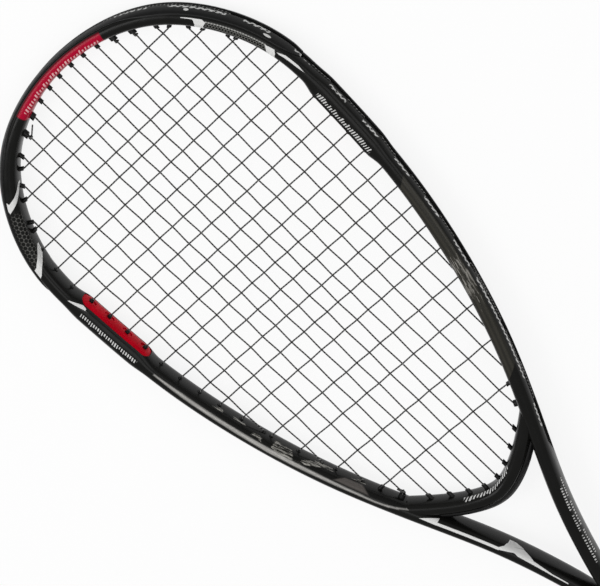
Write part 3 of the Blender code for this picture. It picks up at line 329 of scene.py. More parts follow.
def head_outline():
    """Half of the hoop's centreline, from the tip round the right side and down the leg."""
    width = HEAD_HALF_WIDTH
    length = TIP_Y - BRIDGE_Y
    widest = WIDEST_BELOW_TIP
    window = BRIDGE_Y - WINDOW_APEX_Y
    return [
        (0.0, TIP_Y),
        (0.307 * width, TIP_Y - 0.046 * widest),
        (0.617 * width, TIP_Y - 0.210 * widest),
        (0.866 * width, TIP_Y - 0.530 * widest),
        (0.986 * width, TIP_Y - 0.880 * widest),
        (1.002 * width, TIP_Y - 0.335 * length),
        (0.969 * width, TIP_Y - 0.475 * length),
        (0.857 * width, TIP_Y - 0.645 * length),
        (0.672 * width, TIP_Y - 0.810 * length),
        (0.435 * width, TIP_Y - 0.960 * length),
        (0.242 * width, WINDOW_APEX_Y + 0.660 * window),
        (0.116 * width, WINDOW_APEX_Y + 0.220 * window),
        (LEG_OFFSET, WINDOW_APEX_Y - 0.010),
        (LEG_OFFSET, 0.5 * WINDOW_APEX_Y),
        (LEG_OFFSET, LEG_END_Y),
    ]


def hoop_path():
    """The whole centreline, from the left leg's end over the tip to the right leg's end."""
    half = head_outline()
    left = [(-x, y) for x, y in reversed(half[1:])]
    return FlatPath(spline_through(left + half, 4001))


HOOP = hoop_path()
TIP_RUN = HOOP.length / 2


def main_x():
    """Distances of the mains from the long axis, innermost first, wider apart at the sides."""
    shares = np.cumsum([1 + MAIN_WIDENING * turn**2 for turn in range(1, MAINS_EACH_SIDE)])
    room = HEAD_HALF_WIDTH - OUTER_MAIN_MARGIN - MAIN_HALF_GAP
    return MAIN_HALF_GAP + room * np.concatenate([[0], shares / shares[-1]])


def cross_y():
    """Heights of the crosses, topmost first, wider apart towards the bridge."""
    heights = [TIP_Y - TOP_CROSS_BELOW_TIP]
    while True:
        lack = BRIDGE_Y + WIDER_ABOVE_BRIDGE - heights[-1]
        after = heights[-1] - CROSS_STEP - CROSS_WIDENING * max(0.0, lack)
        if after < BRIDGE_Y + LAST_CROSS_ABOVE_BRIDGE:
            return np.array(heights)
        heights.append(after)


MAINS = main_x()
CROSSES = cross_y()
BLADE_TOP_Y = CROSSES[BLADE_FIRST_CROSS] + INSERT_MARGIN
BLADE_BOTTOM_Y = CROSSES[BLADE_LAST_CROSS] - INSERT_MARGIN


def blade_share_at(y):
    """1 along a blade insert and 0 on the plain hoop above and below it."""
    half_ramp = BLADE_RAMP / 2
    above = smoothstep(y, BLADE_BOTTOM_Y - half_ramp, BLADE_BOTTOM_Y + half_ramp)
    return above * (1 - smoothstep(y, BLADE_TOP_Y - half_ramp, BLADE_TOP_Y + half_ramp))


def section_sizes(run):
    """Outer and inner half widths and the half depth of the hoop at a length along it."""
    y = HOOP.at(run)[..., 1]
    from_tip = np.abs(run - TIP_RUN)
    shaft = 1 - smoothstep(y, BRIDGE_Y - SHAFT_BLEND_BELOW, BRIDGE_Y + SHAFT_BLEND_ABOVE)
    wider, deeper = smoothstep(from_tip, *TIP_WIDENS), smoothstep(from_tip, *TIP_DEEPENS)
    width = TIP_HALF_WIDTH + (HOOP_HALF_WIDTH - TIP_HALF_WIDTH) * wider
    width = width + (SHAFT_HALF_WIDTH - HOOP_HALF_WIDTH) * shaft
    depth = TIP_HALF_DEPTH + (HOOP_HALF_DEPTH - TIP_HALF_DEPTH) * deeper
    depth = depth + (SHAFT_HALF_DEPTH - HOOP_HALF_DEPTH) * shaft
    blade = blade_share_at(y)
    return width + BLADE_OUTER_BULGE * blade, width + BLADE_BULGE * blade, depth


def groove_share_at(y):
    """The string groove runs round the head and fades out on the shafts."""
    return smoothstep(y, BRIDGE_Y - GROOVE_FADE_BELOW, BRIDGE_Y + GROOVE_FADE_ABOVE)


def oval_width(half_width, half_depth, up):
    """Half a squared oval's width at a height above its middle."""
    share = np.clip(1 - np.abs(up / half_depth) ** SECTION_POWER, 0, 1)
    return half_width * share ** (1 / SECTION_POWER)


def bridge_path():
    """The bridge's centreline, from the right shaft's to the left shaft's, sagging between."""
    half_span = MAINS[BRIDGE_MAINS] + HOOP_HALF_WIDTH
    below = HOOP.points[(HOOP.points[:, 0] > 0) & (HOOP.points[:, 1] < CROSSES[-1])][::-1]
    sag = np.interp(half_span, below[:, 0], below[:, 1]) - BRIDGE_Y
    arch = [(1.0, 1.0), (0.85, 0.785), (0.60, 0.455), (0.30, 0.145)]
    half = [(share * half_span, BRIDGE_Y + rise * sag) for share, rise in arch]
    left = [(-x, y) for x, y in reversed(half)]
    return FlatPath(spline_through([*half, (0.0, BRIDGE_Y), *left], 801))


BRIDGE = bridge_path()


def bridge_sizes(run):
    flat = np.zeros_like(run, dtype=float)
    return BRIDGE_HALF_WIDTH + flat, BRIDGE_HALF_WIDTH + flat, BRIDGE_HALF_DEPTH + flat


class Wall:
    """The hoop or the bridge, with the line of barrel mouths on its string side."""

    def __init__(self, path, sizes_at, hidden_behind=None):
        self.path, self.sizes_at = path, sizes_at
        reach = np.array([self.reach(run) for run in path.run])
        inner = sizes_at(path.run)[1] + reach
        self.mouths = path.points - path.outward(path.run) * inner[:, None]
        self.open = np.full(len(self.mouths), True)
        if hidden_behind is not None:
            for index, mouth in enumerate(self.mouths):
                run = hidden_behind.path.nearest(mouth)
                cover = hidden_behind.sizes_at(run)[1] + hidden_behind.reach(run)
                self.open[index] = np.linalg.norm(hidden_behind.path.at(run) - mouth) > cover

    def reach(self, run):
        """How far a barrel stands out of the wall: long for the mains and round the bridge."""
        x, y = self.path.at(run)
        past_mains = abs(x) > MAINS[-1] + HOOP_HALF_WIDTH + BARREL_REACH
        beside = past_mains or y < (TIP_Y + BRIDGE_Y) / 2
        return FLUSH_REACH if self.path is HOOP and beside and y > CROSSES[-1] else BARREL_REACH

    def floor(self, run):
        """The bottom of the string groove, outward of the centreline."""
        outer, _, depth = self.sizes_at(run)
        return oval_width(outer, depth, GROOVE_HALF_WIDTH) - GROOVE_DEPTH

    def channel(self, run, height, up=0.0):
        """A point this high above the string channel's floor."""
        x, y = self.path.at(run) + self.path.outward(run) * (self.floor(run) + height)
        return np.array([x, y, up])

    def meet(self, start, way):
        """Where a string's line first meets a barrel mouth, as (distance, length along)."""
        rel = self.mouths - start
        ahead = rel @ way
        side = rel[:, 0] * way[1] - rel[:, 1] * way[0]
        crossed = (side[:-1] * side[1:] <= 0) & (ahead[:-1] > 0) & self.open[:-1]
        found = np.where(crossed)[0]
        if not len(found):
            return math.inf, 0.0
        nearest = found[np.argmin(ahead[found])]
        share = side[nearest] / (side[nearest] - side[nearest + 1])
        run = self.path.run[nearest]
        return ahead[nearest], run + share * (self.path.run[nearest + 1] - run)

    def lean(self, run, way):
        """The barrel's turn from the wall's normal towards its string."""
        normal = self.path.outward(run)
        turn = math.atan2(normal[0] * way[1] - normal[1] * way[0], normal @ way)
        if self.path is BRIDGE:
            return turn
        return turn * max(0.0, 1 - (turn / LEAN_LIMIT) ** 2)


HOOP_WALL = Wall(HOOP, section_sizes)
BRIDGE_WALL = Wall(BRIDGE, bridge_sizes, hidden_behind=HOOP_WALL)


class Hole:
    """One string hole through a wall, leaning in the string bed's plane."""

    def __init__(self, wall, run, lean, tied=False):
        self.wall, self.run, self.lean, self.tied = wall, run, lean, tied
        normal = wall.path.outward(run)
        cos, sin = math.cos(lean), math.sin(lean)
        self.way = np.array([normal[0] * cos - normal[1] * sin, normal[0] * sin + normal[1] * cos])
        self.mouth = wall.path.at(run) - normal * (wall.sizes_at(run)[1] + wall.reach(run))
        self.exit_run = self.out_to(STRIP_THICKNESS)[1]

    def mirrored(self):
        return Hole(self.wall, self.wall.path.length - self.run, -self.lean, self.tied)

    def inside(self, before, up=0.0):
        """A point on the axis, this far before the mouth."""
        x, y = self.mouth - self.way * before
        return np.array([x, y, up])

    def out_to(self, height, up=0.0):
        """The axis point this high above the channel's floor, and its length along the wall."""
        spot, run = self.mouth, self.run
        for _ in range(6):
            run = self.wall.path.nearest(spot)
            normal = self.wall.path.outward(run)
            lack = self.wall.floor(run) + height - (spot - self.wall.path.at(run)) @ normal
            spot = spot + self.way * lack / (self.way @ normal)
        return np.array([spot[0], spot[1], up]), run


def main_slope(index):
    """The outermost mains are drawn in towards the throat."""
    return MAINS[index] * FAN_SHARE * max(0, index - FAN_FROM) / FAN_LENGTH


def wanted_hole(start, way):
    """The wall that a string's straight line meets first, the place there and the lean."""
    way = np.asarray(way, float) / np.linalg.norm(way)
    found = []
    for wall in (HOOP_WALL, BRIDGE_WALL):
        distance, run = wall.meet(np.asarray(start, float), way)
        found.append((distance, run, wall))
    _, run, wall = min(found, key=lambda item: item[0])
    return wall, run, wall.lean(run, way)


def spread_holes(wanted):
    """Holes along one wall, moved apart and turned upright until none is too near its neighbour."""
    runs = np.array([item["run"] for item in wanted])
    leans = [item["lean"] for item in wanted]
    for _ in range(SPREAD_ROUNDS):
        push = np.clip(HOLE_SPACING - np.diff(runs), 0, None) / 2
        runs[:-1] -= push
        runs[1:] += push
    for _ in range(UPRIGHT_ROUNDS):
        holes = []
        for item, run, lean in zip(wanted, runs, leans):
            holes.append(Hole(item["wall"], run, lean, item["tied"]))
        for index, (first, second) in enumerate(zip(holes, holes[1:])):
            if abs(first.exit_run - second.exit_run) < HOLE_SPACING:
                leans[index] *= UPRIGHT_SHARE
                leans[index + 1] *= UPRIGHT_SHARE
    return dict(zip((item["name"] for item in wanted), holes))


def right_holes():
    """All holes of the right half, by name: ("top", main), ("foot", main) and ("cross", cross)."""
    wanted = []

    def want(name, start, way, early=0.0):
        wall, run, lean = wanted_hole(start, way)
        tied = name in TIED_HOLES
        item = dict(name=name, wall=wall, run=run, lean=lean, tied=tied, order=run - early)
        wanted.append(item)

    middle = (CROSSES[0] + CROSSES[-1]) / 2
    for index, x in enumerate(MAINS):
        slope = main_slope(index)
        start = (x + slope * (middle - CROSSES[1]), middle)
        want(("top", index), start, (slope, 1.0), LANE_CHANGE)
        want(("foot", index), start, (-slope, -1.0), LANE_CHANGE)
    for index, y in enumerate(CROSSES):
        want(("cross", index), (0.0, y), (1.0, 0.0))
    wanted.sort(key=lambda item: item["order"])
    holes = {}
    for wall in (HOOP_WALL, BRIDGE_WALL):
        holes |= spread_holes([item for item in wanted if item["wall"] is wall])
    return holes


RIGHT = right_holes()
LEFT = {name: hole.mirrored() for name, hole in RIGHT.items()}


def holes_on(wall):
    return [hole for side in (LEFT, RIGHT) for hole in side.values() if hole.wall is wall]


# Meshes


def mesh_of(name, points, faces):
    mesh = bpy.data.meshes.new(name)
    mesh.from_pydata(np.asarray(points, float).tolist(), [], [list(face) for face in faces])
    mesh.update()
    return mesh


def sweep(name, rings, closed=False):
    """A skin through rings of equally many points, its two ends filled unless it is closed."""
    rings = np.asarray(rings, float)
    count, around = rings.shape[:2]
    start = np.arange(count if closed else count - 1)[:, None] * around
    after = (start + around) % (count * around)
    here = np.arange(around)[None]
    beyond = (here + 1) % around
    faces = np.stack([start + here, start + beyond, after + beyond, after + here], axis=-1)
    faces = faces.reshape(-1, 4).tolist()
    if not closed:
        faces += [list(range(around)), list(range(count * around - around, count * around))]
    mesh = mesh_of(name, rings.reshape(-1, 3), faces)
    return facing_out(mesh)


def facing_out(mesh):
    bm = bmesh.new()
    bm.from_mesh(mesh)
    bmesh.ops.recalc_face_normals(bm, faces=bm.faces)
    bm.to_mesh(mesh)
    bm.free()
    return mesh


def placed(path, run, section):
    """Section points (outward, up) set square to the path at one length along it."""
    spot, outward = path.at(run), path.outward(run)
    section = np.asarray(section)
    flat = spot[None] + outward[None] * section[:, :1]
    return np.column_stack([flat, section[:, 1]])


def linked(name, data):
    """A new object in the scene."""
    made = bpy.data.objects.new(name, data)
    bpy.context.scene.collection.objects.link(made)
    return made


def piece(name, mesh, finish, slot, *nodes):
    """A finished piece that rides on the racket, in place of its CAD nodes."""
    mesh.name = name
    mesh.materials.clear()
    mesh.materials.append(finish)
    mesh.shade_smooth()
    mesh.set_sharp_from_angle(angle=SHARP_ANGLE)
    made = linked(name, mesh)
    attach(made, "root")
    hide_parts(*nodes)


def both_sides(name, right, finish, slot, node):
    """A right piece and its mirror image."""
    left = mirrored_in_x(right)
    piece(name + "_right", right, finish, slot, node + "_right")
    piece(name + "_left", left, finish, slot, node + "_left")


def combined(mesh, *steps):
    """A mesh after boolean steps, each an operation and the mesh it is made with."""
    body, tools = linked("body", mesh), []
    for operation, tool_mesh in steps:
        tools.append(linked("tool", tool_mesh))
        step = body.modifiers.new(operation, "BOOLEAN")
        step.operation, step.solver, step.object = operation, "MANIFOLD", tools[-1]
    result = evaluated(body)
    for made in (body, *tools):
        bpy.data.objects.remove(made)
    return result


def evaluated(made):
    """The mesh that an object's modifiers make."""
    bpy.context.view_layer.update()
    graph = bpy.context.evaluated_depsgraph_get()
    return bpy.data.meshes.new_from_object(made.evaluated_get(graph))


def mirrored_in_x(mesh):
    copy = mesh.copy()
    copy.transform(Matrix.Scale(-1, 4, (1, 0, 0)))
    copy.flip_normals()
    return copy


def prisms(name, items, sides):
    """Straight oval rods in the string bed's plane: ends (point, normal), way and sizes of each."""
    points, faces = [], []
    for ends, way, sizes in items:
        along = np.array([*way, 0.0])
        across = np.array([-way[1], way[0], 0.0])
        base = len(points)
        for point, normal in ends:
            for turn in range(sides):
                angle = 2 * math.pi * (turn + 0.5) / sides
                offset = across * math.cos(angle) * sizes[0]
                offset = offset - along * (offset[:2] @ normal) / (along[:2] @ normal)
                offset[2] = math.sin(angle) * sizes[1]
                points.append(point + offset)
        for turn in range(sides):
            after = (turn + 1) % sides
            faces.append((base + turn, base + after, base + sides + after, base + sides + turn))
        faces.append(tuple(range(base, base + sides)))
        faces.append(tuple(range(base + sides, base + 2 * sides)))
    return facing_out(mesh_of(name, points, faces))


def hole_rods(name, holes, radius, tie_radius, before, height, sides=14):
    """Rods on the axes of holes, thicker where a string is tied off."""
    items = []
    for hole in holes:
        end, run = hole.out_to(height)
        outward = hole.wall.path.outward
        ends = (hole.inside(before), outward(hole.run)), (end, outward(run))
        size = tie_radius if hole.tied else radius
        items.append((ends, hole.way, (size, size)))
    return prisms(name, items, sides)


def clearance_rods(name, holes):
    past = GROOVE_DEPTH + FIT_GAP
    radius, tie_radius = BARREL_RADIUS + HOLE_EASE, TIE_BARREL_RADIUS + HOLE_EASE
    return hole_rods(name, holes, radius, tie_radius, past, past)


# The hoop and the bridge


def fine_section(outer, inner, depth, groove):
    """Points (outward, up) round a moulded tube with a string groove on its outer side."""
    rim = GROOVE_HALF_WIDTH + GROOVE_WALL / 2
    low = GROOVE_HALF_WIDTH - GROOVE_WALL / 2
    shares = np.array([0.0, 0.12, 0.5, 0.88, 1.0])
    heights = np.concatenate([[0.0, 0.4 * low, 0.8 * low], low + (rim - low) * shares])
    level = oval_width(outer, depth, GROOVE_HALF_WIDTH)
    bottom = 1 - smoothstep(heights, low, rim)
    width = oval_width(outer, depth, heights)
    width += (level - width) * groove * bottom - GROOVE_DEPTH * groove * bottom
    first = math.asin((1.04 * rim / depth) ** (SECTION_POWER / 2))
    angles = np.concatenate(
        [
            np.linspace(first, math.pi / 2, CREST_STEPS // 2, endpoint=False),
            np.linspace(math.pi / 2, math.pi - 0.04, CREST_STEPS - CREST_STEPS // 2),
        ]
    )
    power = 2 / SECTION_POWER
    sizes = np.where(angles <= math.pi / 2, outer, inner)
    across = sizes * np.sign(np.cos(angles)) * np.abs(np.cos(angles)) ** power
    up = depth * np.abs(np.sin(angles)) ** power
    top = np.column_stack([np.concatenate([width, across]), np.concatenate([heights, up])])
    bottom_half = top[:0:-1] * (1, -1)
    return np.concatenate([top, [(-inner, 0.0)], bottom_half])


def hoop_runs():
    """Lengths along the right half of the hoop at which its sections stand."""
    legs = HOOP.run[(HOOP.points[:, 0] > 0) & (HOOP.points[:, 1] > WINDOW_APEX_Y - 0.030)][-1]
    head = np.linspace(TIP_RUN, legs, round((legs - TIP_RUN) / HOOP_STEP) + 1)[1:]
    leg = np.linspace(legs, HOOP.length, round((HOOP.length - legs) / LEG_STEP) + 1)[1:]
    return np.concatenate([[TIP_RUN - FIT_GAP], head, leg])


def hoop_blank(recess=0.0):
    """The hoop before it is drilled, its inner face lowered by a recess if one is given."""
    rings = []
    for run in hoop_runs():
        groove = groove_share_at(HOOP.at(run)[1])
        outer, inner, depth = section_sizes(run)
        rings.append(placed(HOOP, run, fine_section(outer, inner - recess, depth, groove)))
    half = linked("half", sweep("hoop_half", rings))
    mirror = half.modifiers.new("mirror", "MIRROR")
    mirror.use_axis = mirror.use_bisect_axis = (True, False, False)
    mirror.merge_threshold = mirror.bisect_threshold = MIRROR_MERGE
    mesh = evaluated(half)
    bpy.data.objects.remove(half)
    return mesh


def surface_coordinates(mesh, path):
    """Writes for each face corner its length from the path's middle and its arc from the crest.

    Both are in millimetres. The back face reads the front's pattern as when the racket is
    turned over.
    """
    tree = KDTree(len(path.points))
    for index, (x, y) in enumerate(path.points):
        tree.insert((x, y, 0.0), index)
    tree.balance()
    spots = np.empty(len(mesh.vertices) * 3)
    mesh.vertices.foreach_get("co", spots)
    spots = spots.reshape(-1, 3)
    nearest = np.array([tree.find((x, y, 0.0))[1] for x, y, _ in spots])
    rel = spots[:, :2] - path.points[nearest]
    run = path.run[nearest] + np.sum(rel * path.tangent[nearest], axis=1)
    across = np.sum(rel * path.outward(path.run[nearest]), axis=1)
    outer, inner, depth = section_sizes(run) if path is HOOP else bridge_sizes(run)
    width = np.where(across > 0, outer, inner)
    half = SECTION_POWER / 2
    angle = np.arctan2((abs(across) / width) ** half, (abs(spots[:, 2]) / depth + 1e-9) ** half)
    steps = np.linspace(0, math.pi / 2, ARC_STEPS)
    out, up = np.sin(steps) ** (1 / half), np.cos(steps) ** (1 / half)
    moves = np.hypot(np.outer(width, np.diff(out)), np.outer(depth, np.diff(up)))
    arcs = np.column_stack([np.zeros(len(width)), np.cumsum(moves, axis=1)])
    cell = np.clip(np.searchsorted(steps, angle) - 1, 0, len(steps) - 2)
    share = (angle - steps[cell]) / (steps[1] - steps[0])
    rows = np.arange(len(width))
    arc = arcs[rows, cell] * (1 - share) + arcs[rows, cell + 1] * share
    values = np.column_stack([run - path.length / 2, np.where(across > 0, -arc, arc), across])
    corners = np.empty(len(mesh.loops), int)
    mesh.loops.foreach_get("vertex_index", corners)
    centres = np.empty(len(mesh.polygons) * 3)
    mesh.polygons.foreach_get("center", centres)
    counts = np.empty(len(mesh.polygons), int)
    mesh.polygons.foreach_get("loop_total", counts)
    facing = np.repeat(np.where(centres[2::3] < 0, -1.0, 1.0), counts)
    values = 1000 * values[corners]
    values[:, 0] *= facing
    attribute = mesh.attributes.new("surface", "FLOAT_VECTOR", "CORNER")
    attribute.data.foreach_set("vector", values.ravel())
    return mesh


def insert_ends():
    """Lengths along the hoop between which the right blade insert lies."""
    heights = np.where(HOOP.points[:, 0] > 0, HOOP.points[:, 1], np.inf)
    ends = [HOOP.run[np.argmin(abs(heights - y))] for y in (BLADE_TOP_Y, BLADE_BOTTOM_Y)]
    return min(ends), max(ends)


def insert_block(grow=0.0):
    """A band of the hoop's inner face with rounded corners, as deep as the insert."""
    start, end = insert_ends()
    start, end = start - grow, end + grow
    corner_steps = INSERT_ROUNDING * (1 - np.cos(np.linspace(0, math.pi / 2, 12)))
    middle = np.linspace(start + INSERT_ROUNDING, end - INSERT_ROUNDING, 24)[1:-1]
    rings = []
    for run in [*(start + corner_steps), *middle, *(end - corner_steps[::-1])]:
        corner = max(0.0, INSERT_ROUNDING - min(run - start, end - run))
        half = INSERT_HALF_HEIGHT + grow - INSERT_ROUNDING
        half += math.sqrt(max(0.0, INSERT_ROUNDING**2 - corner**2))
        inner = float(section_sizes(run)[1])
        low, high = -inner - BLADE_BULGE, INSERT_DEPTH + grow - inner
        section = [(low, half), (high, half), (high, -half), (low, -half)]
        rings.append(placed(HOOP, run, section))
    return sweep("insert_block", rings)


def blade_holes():
    return [RIGHT[("cross", turn)] for turn in range(BLADE_FIRST_CROSS, BLADE_LAST_CROSS + 1)]


def blade_ports():
    """Oval recesses round the string holes of the right blade insert."""
    items = []
    for hole in blade_holes():
        normal = HOOP.outward(hole.run)
        ends = (hole.inside(BLADE_BULGE), normal), (hole.inside(-FLUSH_REACH - PORT_DEPTH), normal)
        items.append((ends, hole.way, (PORT_HALF_LENGTH, PORT_HALF_HEIGHT)))
    return prisms("ports", items, 28)


def bridge_groove_reach():
    """How far the bridge's groove goes from its middle, just past its last hole."""
    reaches = [abs(hole.exit_run - BRIDGE.length / 2) for hole in holes_on(BRIDGE_WALL)]
    return max(reaches) + BRIDGE_STRIP_PAST_HOLE


def bridge_mesh(reach):
    rings = []
    for run in np.linspace(0, BRIDGE.length, round(BRIDGE.length / BRIDGE_STEP)):
        away = abs(run - BRIDGE.length / 2)
        groove = 1 - smoothstep(away, reach, reach + BRIDGE_GROOVE_FADE)
        sizes = [float(size) for size in bridge_sizes(run)]
        rings.append(placed(BRIDGE, run, fine_section(*sizes, groove)))
    return sweep("bridge", rings)


# Materials


class Field:
    """A value in a shader's node tree that can be reckoned with."""

    def __init__(self, tree, socket):
        self.tree, self.socket = tree, socket

    def node(self, kind, operation, *values):
        node = self.tree.nodes.new(kind)
        node.operation = operation
        for socket, value in zip(node.inputs, values):
            feed(socket, value)
        return Field(self.tree, node.outputs[0])

    def math(self, operation, *values):
        return self.node("ShaderNodeMath", operation, self, *values)

    def __add__(self, other):
        return self.math("ADD", other)

    def __sub__(self, other):
        return self.math("SUBTRACT", other)

    def __rsub__(self, other):
        return self.node("ShaderNodeMath", "SUBTRACT", other, self)

    def __mul__(self, other):
        return self.math("MULTIPLY", other)

    def __truediv__(self, other):
        return self.math("DIVIDE", other)

    __radd__ = __add__
    __rmul__ = __mul__

    def step(self, start, end):
        """0 before start, 1 after end."""
        node = self.tree.nodes.new("ShaderNodeMapRange")
        node.interpolation_type = "SMOOTHSTEP"
        for name, value in (("Value", self), ("From Min", start), ("From Max", end)):
            feed(node.inputs[name], value)
        return Field(self.tree, node.outputs["Result"])

    def within(self, low, high, soft):
        """1 between low and high, fading over soft at both ends."""
        return self.step(low - soft, low + soft) * (1 - self.step(high - soft, high + soft))


def feed(socket, value):
    """Links a field to a socket, or sets the socket to a constant."""
    if isinstance(value, Field):
        value.tree.links.new(value.socket, socket)
    else:
        socket.default_value = value


def folded(operation, fields):
    """All fields joined by one operation."""
    return functools.reduce(lambda total, field: total.math(operation, field), fields)


def texture(vector, kind, output, **settings):
    """A texture node's output as a field."""
    node = vector.tree.nodes.new(kind)
    for name, value in settings.items():
        if name in node.inputs:
            node.inputs[name].default_value = value
        else:
            setattr(node, name, value)
    feed(node.inputs["Vector"], vector)
    return Field(vector.tree, node.outputs[output])


def noise(vector, detail=2.0):
    return texture(vector, "ShaderNodeTexNoise", "Fac", Scale=1.0, Detail=detail)


def vector_of(x, y, z=0.0):
    """A vector of three values, the first of them a field."""
    node = x.tree.nodes.new("ShaderNodeCombineXYZ")
    for socket, value in zip(node.inputs, (x, y, z)):
        feed(socket, value)
    return Field(x.tree, node.outputs[0])


def parts_of(vector):
    node = vector.tree.nodes.new("ShaderNodeSeparateXYZ")
    feed(node.inputs[0], vector)
    return [Field(vector.tree, socket) for socket in node.outputs]


def shader_group(name, build, outputs=("Mask",), **inputs):
    """A node group of named inputs, each a number's default or None for a vector."""
    if name in bpy.data.node_groups:
        return bpy.data.node_groups[name]
    tree = bpy.data.node_groups.new(name, "ShaderNodeTree")
    for title, default in inputs.items():
        kind = "NodeSocketVector" if default is None else "NodeSocketFloat"
        socket = tree.interface.new_socket(title, in_out="INPUT", socket_type=kind)
        if default is not None:
            socket.default_value = default
    for title in outputs:
        tree.interface.new_socket(title, in_out="OUTPUT", socket_type="NodeSocketFloat")
    start, end = tree.nodes.new("NodeGroupInput"), tree.nodes.new("NodeGroupOutput")
    fields = [Field(tree, start.outputs[title]) for title in inputs]
    for title, result in zip(outputs, build(*fields)):
        feed(end.inputs[title], result)
    return tree


def use_group(tree, group, **values):
    """A placed group's outputs as fields."""
    node = tree.nodes.new("ShaderNodeGroup")
    node.node_tree = group
    for name, value in values.items():
        feed(node.inputs[name], value)
    found = [Field(tree, socket) for socket in node.outputs]
    return found[0] if len(found) == 1 else found


def pattern(group, along, around, **values):
    """A placed group that draws on the surface coordinates."""
    return use_group(along.tree, group, Along=along, Around=around, **values)


def patch_group():
    """The inside of a painted patch of four straight edges, each given as a line's equation."""

    def build(spot, soft, *edges):
        depths = []
        for edge in edges:
            depth = spot.node("ShaderNodeVectorMath", "DOT_PRODUCT", spot, edge)
            depths.append(Field(spot.tree, depth.socket.node.outputs["Value"]))
        return [folded("MINIMUM", depths).step(soft * -1.0, soft)]

    edges = {f"Edge {turn}": None for turn in range(PATCH_EDGES)}
    return shader_group("painted_patch", build, Spot=None, Soft=0.14, **edges)


def patches(spot, shapes, soft=0.14):
    """A mask of all convex shapes of three or four corners."""
    masks = []
    for corners in shapes:
        middle = np.mean(corners, axis=0)
        edges = {}
        for turn in range(PATCH_EDGES):
            (x, y), end = corners[turn % len(corners)], corners[(turn + 1) % len(corners)]
            along, around = np.subtract(end, (x, y))
            length = math.hypot(along, around)
            a, b = -around / length, along / length
            side = 1 if a * (middle[0] - x) + b * (middle[1] - y) > 0 else -1
            edges[f"Edge {turn}"] = (side * a, side * b, -side * (a * x + b * y))
        masks.append(use_group(spot.tree, patch_group(), Spot=spot, Soft=soft, **edges))
    return folded("MAXIMUM", masks)


def ribbon(stops, lap=0.0):
    """Patches of a painted line through stops (along, around, half width), which overlap."""
    shapes = []
    for (x1, y1, half1), (x2, y2, half2) in zip(stops, stops[1:]):
        lap_here = math.copysign(lap, x2 - x1)
        x1, x2 = x1 - lap_here, x2 + lap_here
        shapes.append([(x1, y1 - half1), (x2, y2 - half2), (x2, y2 + half2), (x1, y1 + half1)])
    return shapes


def honeycomb_group():
    """The walls of a honeycomb of a given pitch."""

    def build(along, around, pitch):
        waves = []
        for angle in (90, 30, -30):
            cos, sin = math.cos(math.radians(angle)), math.sin(math.radians(angle))
            wave = (along * cos + around * sin) / pitch * (2 * math.pi / 0.866)
            waves.append(wave.math("COSINE"))
        return [1 - folded("ADD", waves).step(-1.2, -0.7)]

    return shader_group("honeycomb_walls", build, Along=0.0, Around=0.0, Pitch=2.4)


def brush_group():
    """Dry brush streaks along the tube, thicker where the amount is higher."""

    def build(along, around, amount, seed):
        streak = noise(vector_of(along * 0.10 + around * 0.03, around * 0.95, seed), 3.0)
        hair = noise(vector_of(along * 0.25, around * 3.0, seed))
        level = streak * 0.6 + hair * 0.4
        return [level.step(0.68 - amount * 0.22, 0.76 - amount * 0.20)]

    return shader_group("brush_streaks", build, Along=0.0, Around=0.0, Amount=0.5, Seed=0.0)


def tally_group():
    """A row of small slanted strokes of uneven width and height, used for printed border motifs and
    for the painted highlights of the string loops.
    """

    def build(along, around, pitch, low, high, slant):
        share = (around - low) / (high - low)
        shifted = along / pitch + share * slant
        cell = vector_of(shifted.math("FLOOR"), pitch)
        chance = texture(cell, "ShaderNodeTexWhiteNoise", "Value", noise_dimensions="2D")
        away = (shifted.math("FRACT") - 0.5).math("ABSOLUTE")
        stroke = 1 - away.step(chance * 0.12 + 0.13, chance * 0.12 + 0.21)
        cut = (chance * 7.3).math("FRACT") * 0.4
        return [stroke * share.step(cut - 0.06, cut + 0.06) * (1 - share.step(0.94, 1.06))]

    inputs = {"Along": 0.0, "Around": 0.0, "Pitch": 1.6, "Low": -1.0, "High": 1.0, "Slant": 0.35}
    return shader_group("tally_border", build, **inputs)


def grain_group():
    """Fine surface grain of a given size: a height, and a tone from 0 to 1."""

    def build(vector, size, stretch):
        x, y, z = (part / size for part in parts_of(vector))
        return [
            noise(vector_of(x, y / stretch, z), 4.0),
            noise(vector_of(x * 0.07, y * 0.07, z * 0.07), 3.0),
        ]

    outputs = ("Height", "Tone")
    return shader_group("surface_grain", build, outputs, Vector=None, Size=0.0003, Stretch=1.0)


